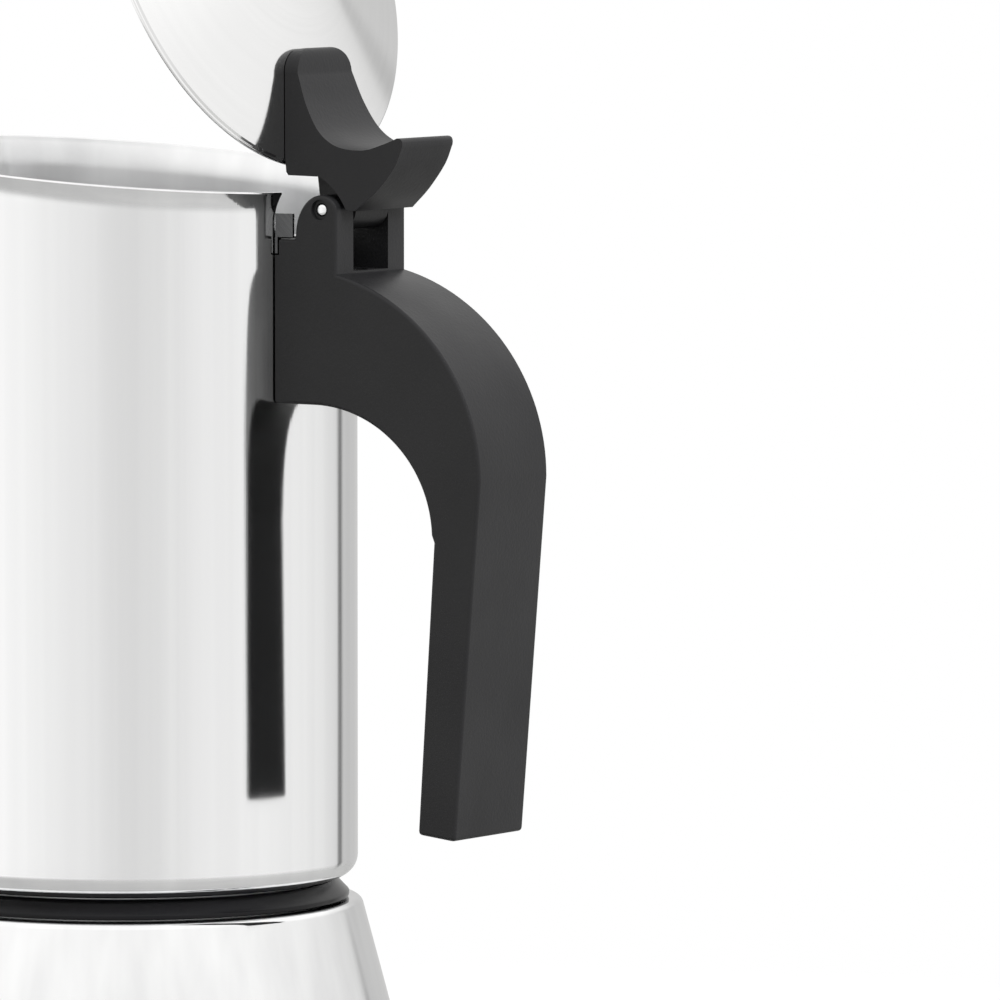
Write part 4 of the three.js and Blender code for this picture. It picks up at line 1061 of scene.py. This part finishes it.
def leverSide():
    form = leverForm
    slope = math.radians(lidForm["coneAngle"])
    lift = -form["footSink"] / math.cos(slope)
    innerRadius = form["footRadius"] - form["footLength"] * math.cos(slope)
    heel = onOpenLid(form["footRadius"], lidHeight(form["footRadius"]) + lift)
    toe = onOpenLid(innerRadius, lidHeight(innerRadius) + lift)
    pin = Vector((pinPlace.x, pinPlace.z))

    def fromPin(x, z):
        return pin + Vector((x, z)) * mm

    under = bow(fromPin(-0.8, 5.6), fromPin(2.6, 4), fromPin(4.4, 0), 10)
    thumbBack = splinePoints([fromPin(6, -0.1), fromPin(10.0, 3.3), fromPin(13.4, 7.4),
                              fromPin(15.0, 10.9)], 10)
    thumbTip = bow(fromPin(15.0, 10.9), fromPin(15.3, 12.4), fromPin(13.9, 12.35), 6)
    dish = splinePoints([fromPin(13.9, 12.35), fromPin(11.0, 11.2), fromPin(7.4, 10.2), fromPin(2.9, 10.7),
                         fromPin(-1.0, 13.1), fromPin(-4.0, 17.6), fromPin(-6.2, 23)], 10)
    outerToe = onOpenLid(innerRadius, lidHeight(innerRadius) + gap)
    top = bow(fromPin(-6.2, 23), outerToe + Vector((2.3, 1.1)) * mm, outerToe + Vector((0.4, 0.15)) * mm, 12)
    return [heel, fromPin(-7.1, 5.7), *under, *thumbBack, *thumbTip[1:], *dish[1:], *top[1:], toe]


def makeLever():
    form = leverForm
    outline = [tuple(p) for p in leverSide()]
    top = max(z for x, z in outline)
    # the side view is cut back to the front view and the plan
    wings = extruded("lidLever", outline, form["halfWidth"] * 1.3, blackPlastic)
    front = extruded("leverFront", leverFront(top), 60 * mm, blackPlastic)
    moveMesh(front, Matrix.Translation((pinPlace.x, 0, 0)) @ Matrix.Rotation(math.pi / 2, 4, "Z"))
    wings = combine(wings, faceOut(front), "INTERSECT")
    plan = extruded("leverPlan", leverPlan(), 80 * mm, blackPlastic)
    moveMesh(plan, Matrix.Translation((0, 0, pinPlace.z)) @ Matrix.Rotation(-math.pi / 2, 4, "X"))
    wings = combine(wings, faceOut(plan), "INTERSECT")
    wings = bevelled(cleanMesh(wings), form["edge"], 4, 45)
    # the foot follows the cone of the lid
    tipRadius, farRadius, footGap, below = 4 * mm, 50 * mm, form["footGap"], -8 * mm
    lidSolid = turnedPiece("lidSolid", [
        (0, below), (farRadius, below), (farRadius, lidHeight(farRadius) + footGap),
        (tipRadius, lidHeight(tipRadius) + footGap), (0, lidHeight(tipRadius) + footGap)],
        blackPlastic, 192, closed=False)
    wings = combine(wings, moveMesh(lidSolid, lidMatrix), "DIFFERENCE")
    hubRadius, hubHalf, x, z = form["hubRadius"], form["hubHalfWidth"], pinPlace.x, pinPlace.z
    hub = cylinder("leverHub", hubRadius, -hubHalf, hubHalf, blackPlastic, 56, alongPin())
    web = extruded("leverWeb", [
        (x - hubRadius, z), (x + hubRadius, z), (x + hubRadius + 1.6 * mm, z + 5 * mm),
        (x - hubRadius - 0.8 * mm, z + 6.5 * mm)], hubHalf - 0.01 * mm, blackPlastic)
    wings = combine(wings, combine(hub, web, "UNION"), "UNION")
    bore = cylinder("leverBore", pinBore, -cutterReach, cutterReach, blackPlastic, 40, alongPin())
    wings = combine(wings, bore, "DIFFERENCE")
    place(weightNormals(creaseByAngle(cleanMesh(wings), 40)), "lid", "black_plastic", "lid_lever")


makeValve()
makeFunnel()
makeSeal()
print("valve, funnel and seal ready")
makeCollectorWall()
makeCollectorInside()
makeHandle()
makeLid()
makeLever()
print("collector, handle and lid ready")

keptMaterials = {"handle_strap": strapSteel, "handle_screw": innerSteel, "handle_nut": innerSteel,
                 "lever_screw_1": innerSteel, "lever_screw_2": innerSteel}
for nodeName, material in keptMaterials.items():
    data = frame["nodes"][nodeName].data
    data.materials.clear()
    data.materials.append(material)


cameraForm = {"distance": 1.7699, "azimuth": 36, "height": 271.53 * mm, "focal": 10230, "centreX": 124,
              "horizon": -290,
              "picture": 1000, "sensor": 36.0}


def makeCamera():
    form = cameraForm
    data = bpy.data.cameras.new("camera")
    data.sensor_width = form["sensor"]
    across, down = ((form["picture"] / 2 - form[key]) / form["focal"] for key in ("centreX", "horizon"))
    reach = math.sqrt(1 + across ** 2 + down ** 2)
    data.lens = form["sensor"] * form["focal"] / form["picture"]
    turn = math.radians(form["azimuth"])
    forward = Vector((-math.sin(turn), math.cos(turn), 0))
    right = Vector((math.cos(turn), math.sin(turn), 0))
    aim = (forward + right * across - Vector((0, 0, 1)) * down) / reach
    camera = bpy.data.objects.new("camera", data)
    scene.collection.objects.link(camera)
    camera.location = (form["distance"] * math.sin(turn), -form["distance"] * math.cos(turn), form["height"])
    camera.rotation_euler = aim.to_track_quat("-Z", "Y").to_euler()
    data.clip_start, data.clip_end = 0.05, 60
    scene.camera = camera


makeCamera()

# brightness round the pot: 0 and 1 lie behind it, 0.25 to its left, 0.5 at the camera, 0.75 to its right
roomForm = {"levels": [(0.0, 0.66), (0.12, 0.85), (0.22, 1.12), (0.33, 1.12), (0.383, 1.02), (0.439, 0.98),
                       (0.5, 0.86),
                       (0.549, 0.87), (0.606, 1.0), (0.683, 1.0), (0.76, 0.96), (0.843, 0.84), (0.862, 0.76),
                       (0.884, 0.64), (1.0, 0.66)], "lineAt": 0.872, "lineHalfWidth": 0.012,
                       "lineDepth": 0.72,
            "overhead": 1.2, "below": 0.6, "backdrop": 1.0}


def makeRoom():
    world = bpy.data.worlds.new("studio")
    world.use_nodes = True
    tree = world.node_tree
    tree.nodes.clear()
    turn = math.radians(cameraForm["azimuth"])
    direction = addNode(tree, "ShaderNodeTexCoord").outputs["Generated"]
    toCamera, toRight = (math.sin(turn), -math.cos(turn), 0), (math.cos(turn), math.sin(turn), 0)
    forward = vectorMath(tree, "DOT_PRODUCT", direction, toCamera, output="Value")
    right = vectorMath(tree, "DOT_PRODUCT", direction, toRight, output="Value")
    angle = math1(tree, "ARCTAN2", right, forward)
    share = mapTo(tree, angle, 0.0, 1.0, -math.pi, math.pi)
    curve = addNode(tree, "ShaderNodeFloatCurve", {"Value": share})
    points = curve.mapping.curves[0].points
    levels = roomForm["levels"]
    top = 2.0
    for point, (place, level) in zip(points, (levels[0], levels[-1])):
        point.location = (place, level / top)
    for place, level in levels[1:-1]:
        points.new(place, level / top)
    curve.mapping.update()
    around = math1(tree, "MULTIPLY", curve.outputs[0], top)
    height = splitVector(tree, direction)[2]
    besideLine = math1(tree, "ABSOLUTE", math1(tree, "SUBTRACT", share, roomForm["lineAt"]))
    line = mapTo(tree, besideLine, 0.0, roomForm["lineDepth"], roomForm["lineHalfWidth"], 0.002, smooth=True)
    lowDown = mapTo(tree, height, 0.0, 1.0, 0.12, 0.02)
    dimming = math1(tree, "SUBTRACT", 1.0, math1(tree, "MULTIPLY", line, lowDown))
    around = math1(tree, "MULTIPLY", around, dimming)
    above = mapTo(tree, height, 0.0, 1.0, 0.2, 0.6, smooth=True)
    below = mapTo(tree, height, 0.0, 1.0, -0.3, -0.7, smooth=True)
    lit = mixValue(tree, above, around, roomForm["overhead"])
    whole = mixValue(tree, below, lit, roomForm["below"])
    room = addNode(tree, "ShaderNodeBackground",
                   {"Strength": whole, "Color": (1, 0.995, 0.985, 1)}).outputs[0]
    plain = addNode(tree, "ShaderNodeBackground",
                    {"Strength": roomForm["backdrop"], "Color": (1, 1, 1, 1)}).outputs[0]
    seen = addNode(tree, "ShaderNodeLightPath").outputs["Is Camera Ray"]
    mixed = addNode(tree, "ShaderNodeMixShader", {0: seen, 1: room, 2: plain}).outputs[0]
    addNode(tree, "ShaderNodeOutputWorld", {"Surface": mixed})
    scene.world = world


floorForm = {"radius": 0.46, "fadeFrom": 0.2, "albedo": 0.2, "glow": 0.95}


sideLightForm = {"place": (1.15, -0.2, 1.2), "size": 0.9, "power": 72.0, "aim": (0.03, 0, 0.15)}


def makeSideLight():
    data = bpy.data.lights.new("sideSoftbox", "AREA")
    data.shape, data.size, data.energy = "SQUARE", sideLightForm["size"], sideLightForm["power"]
    light = bpy.data.objects.new("sideSoftbox", data)
    scene.collection.objects.link(light)
    light.location = sideLightForm["place"]
    away = Vector(sideLightForm["aim"]) - light.location
    light.rotation_euler = away.to_track_quat("-Z", "Y").to_euler()
    light.visible_camera = light.visible_glossy = False


def makeFloor():
    material, tree, shader, vector = startMaterial("paleFloor",
                                                   {"Roughness": 0.75, "Specular IOR Level": 0.2})
    soft = noiseAt(tree, vector, 14.0, 3.0)
    pale = floorForm["albedo"]
    tree.links.new(mixColour(tree, soft, (pale, pale, pale * 0.995),
                             (pale + 0.03, pale + 0.03, pale + 0.025)),
                   shader.inputs["Base Color"])
    shader.inputs["Emission Color"].default_value = (1, 1, 1, 1)
    seen = addNode(tree, "ShaderNodeLightPath").outputs["Is Camera Ray"]
    tree.links.new(math1(tree, "MULTIPLY", seen, floorForm["glow"]), shader.inputs["Emission Strength"])
    distance = vectorMath(tree, "LENGTH", vector, output="Value")
    fade = mapTo(tree, distance, 0.0, 1.0, floorForm["fadeFrom"], floorForm["radius"] * 0.98, smooth=True)
    clear = addNode(tree, "ShaderNodeBsdfTransparent").outputs[0]
    mixed = addNode(tree, "ShaderNodeMixShader", {0: fade, 1: shader.outputs[0], 2: clear}).outputs[0]
    tree.links.new(mixed, tree.nodes["Material Output"].inputs["Surface"])
    floorPiece = turnedPiece("floor", [(0, 0), (0.1, 0), (0.3, 0), (floorForm["radius"], 0)], material, 96,
                             closed=False)
    if floorPiece.data.polygons[0].normal.z < 0:
        floorPiece.data.flip_normals()


makeRoom()
makeSideLight()
makeFloor()
print("camera, light and floor ready")
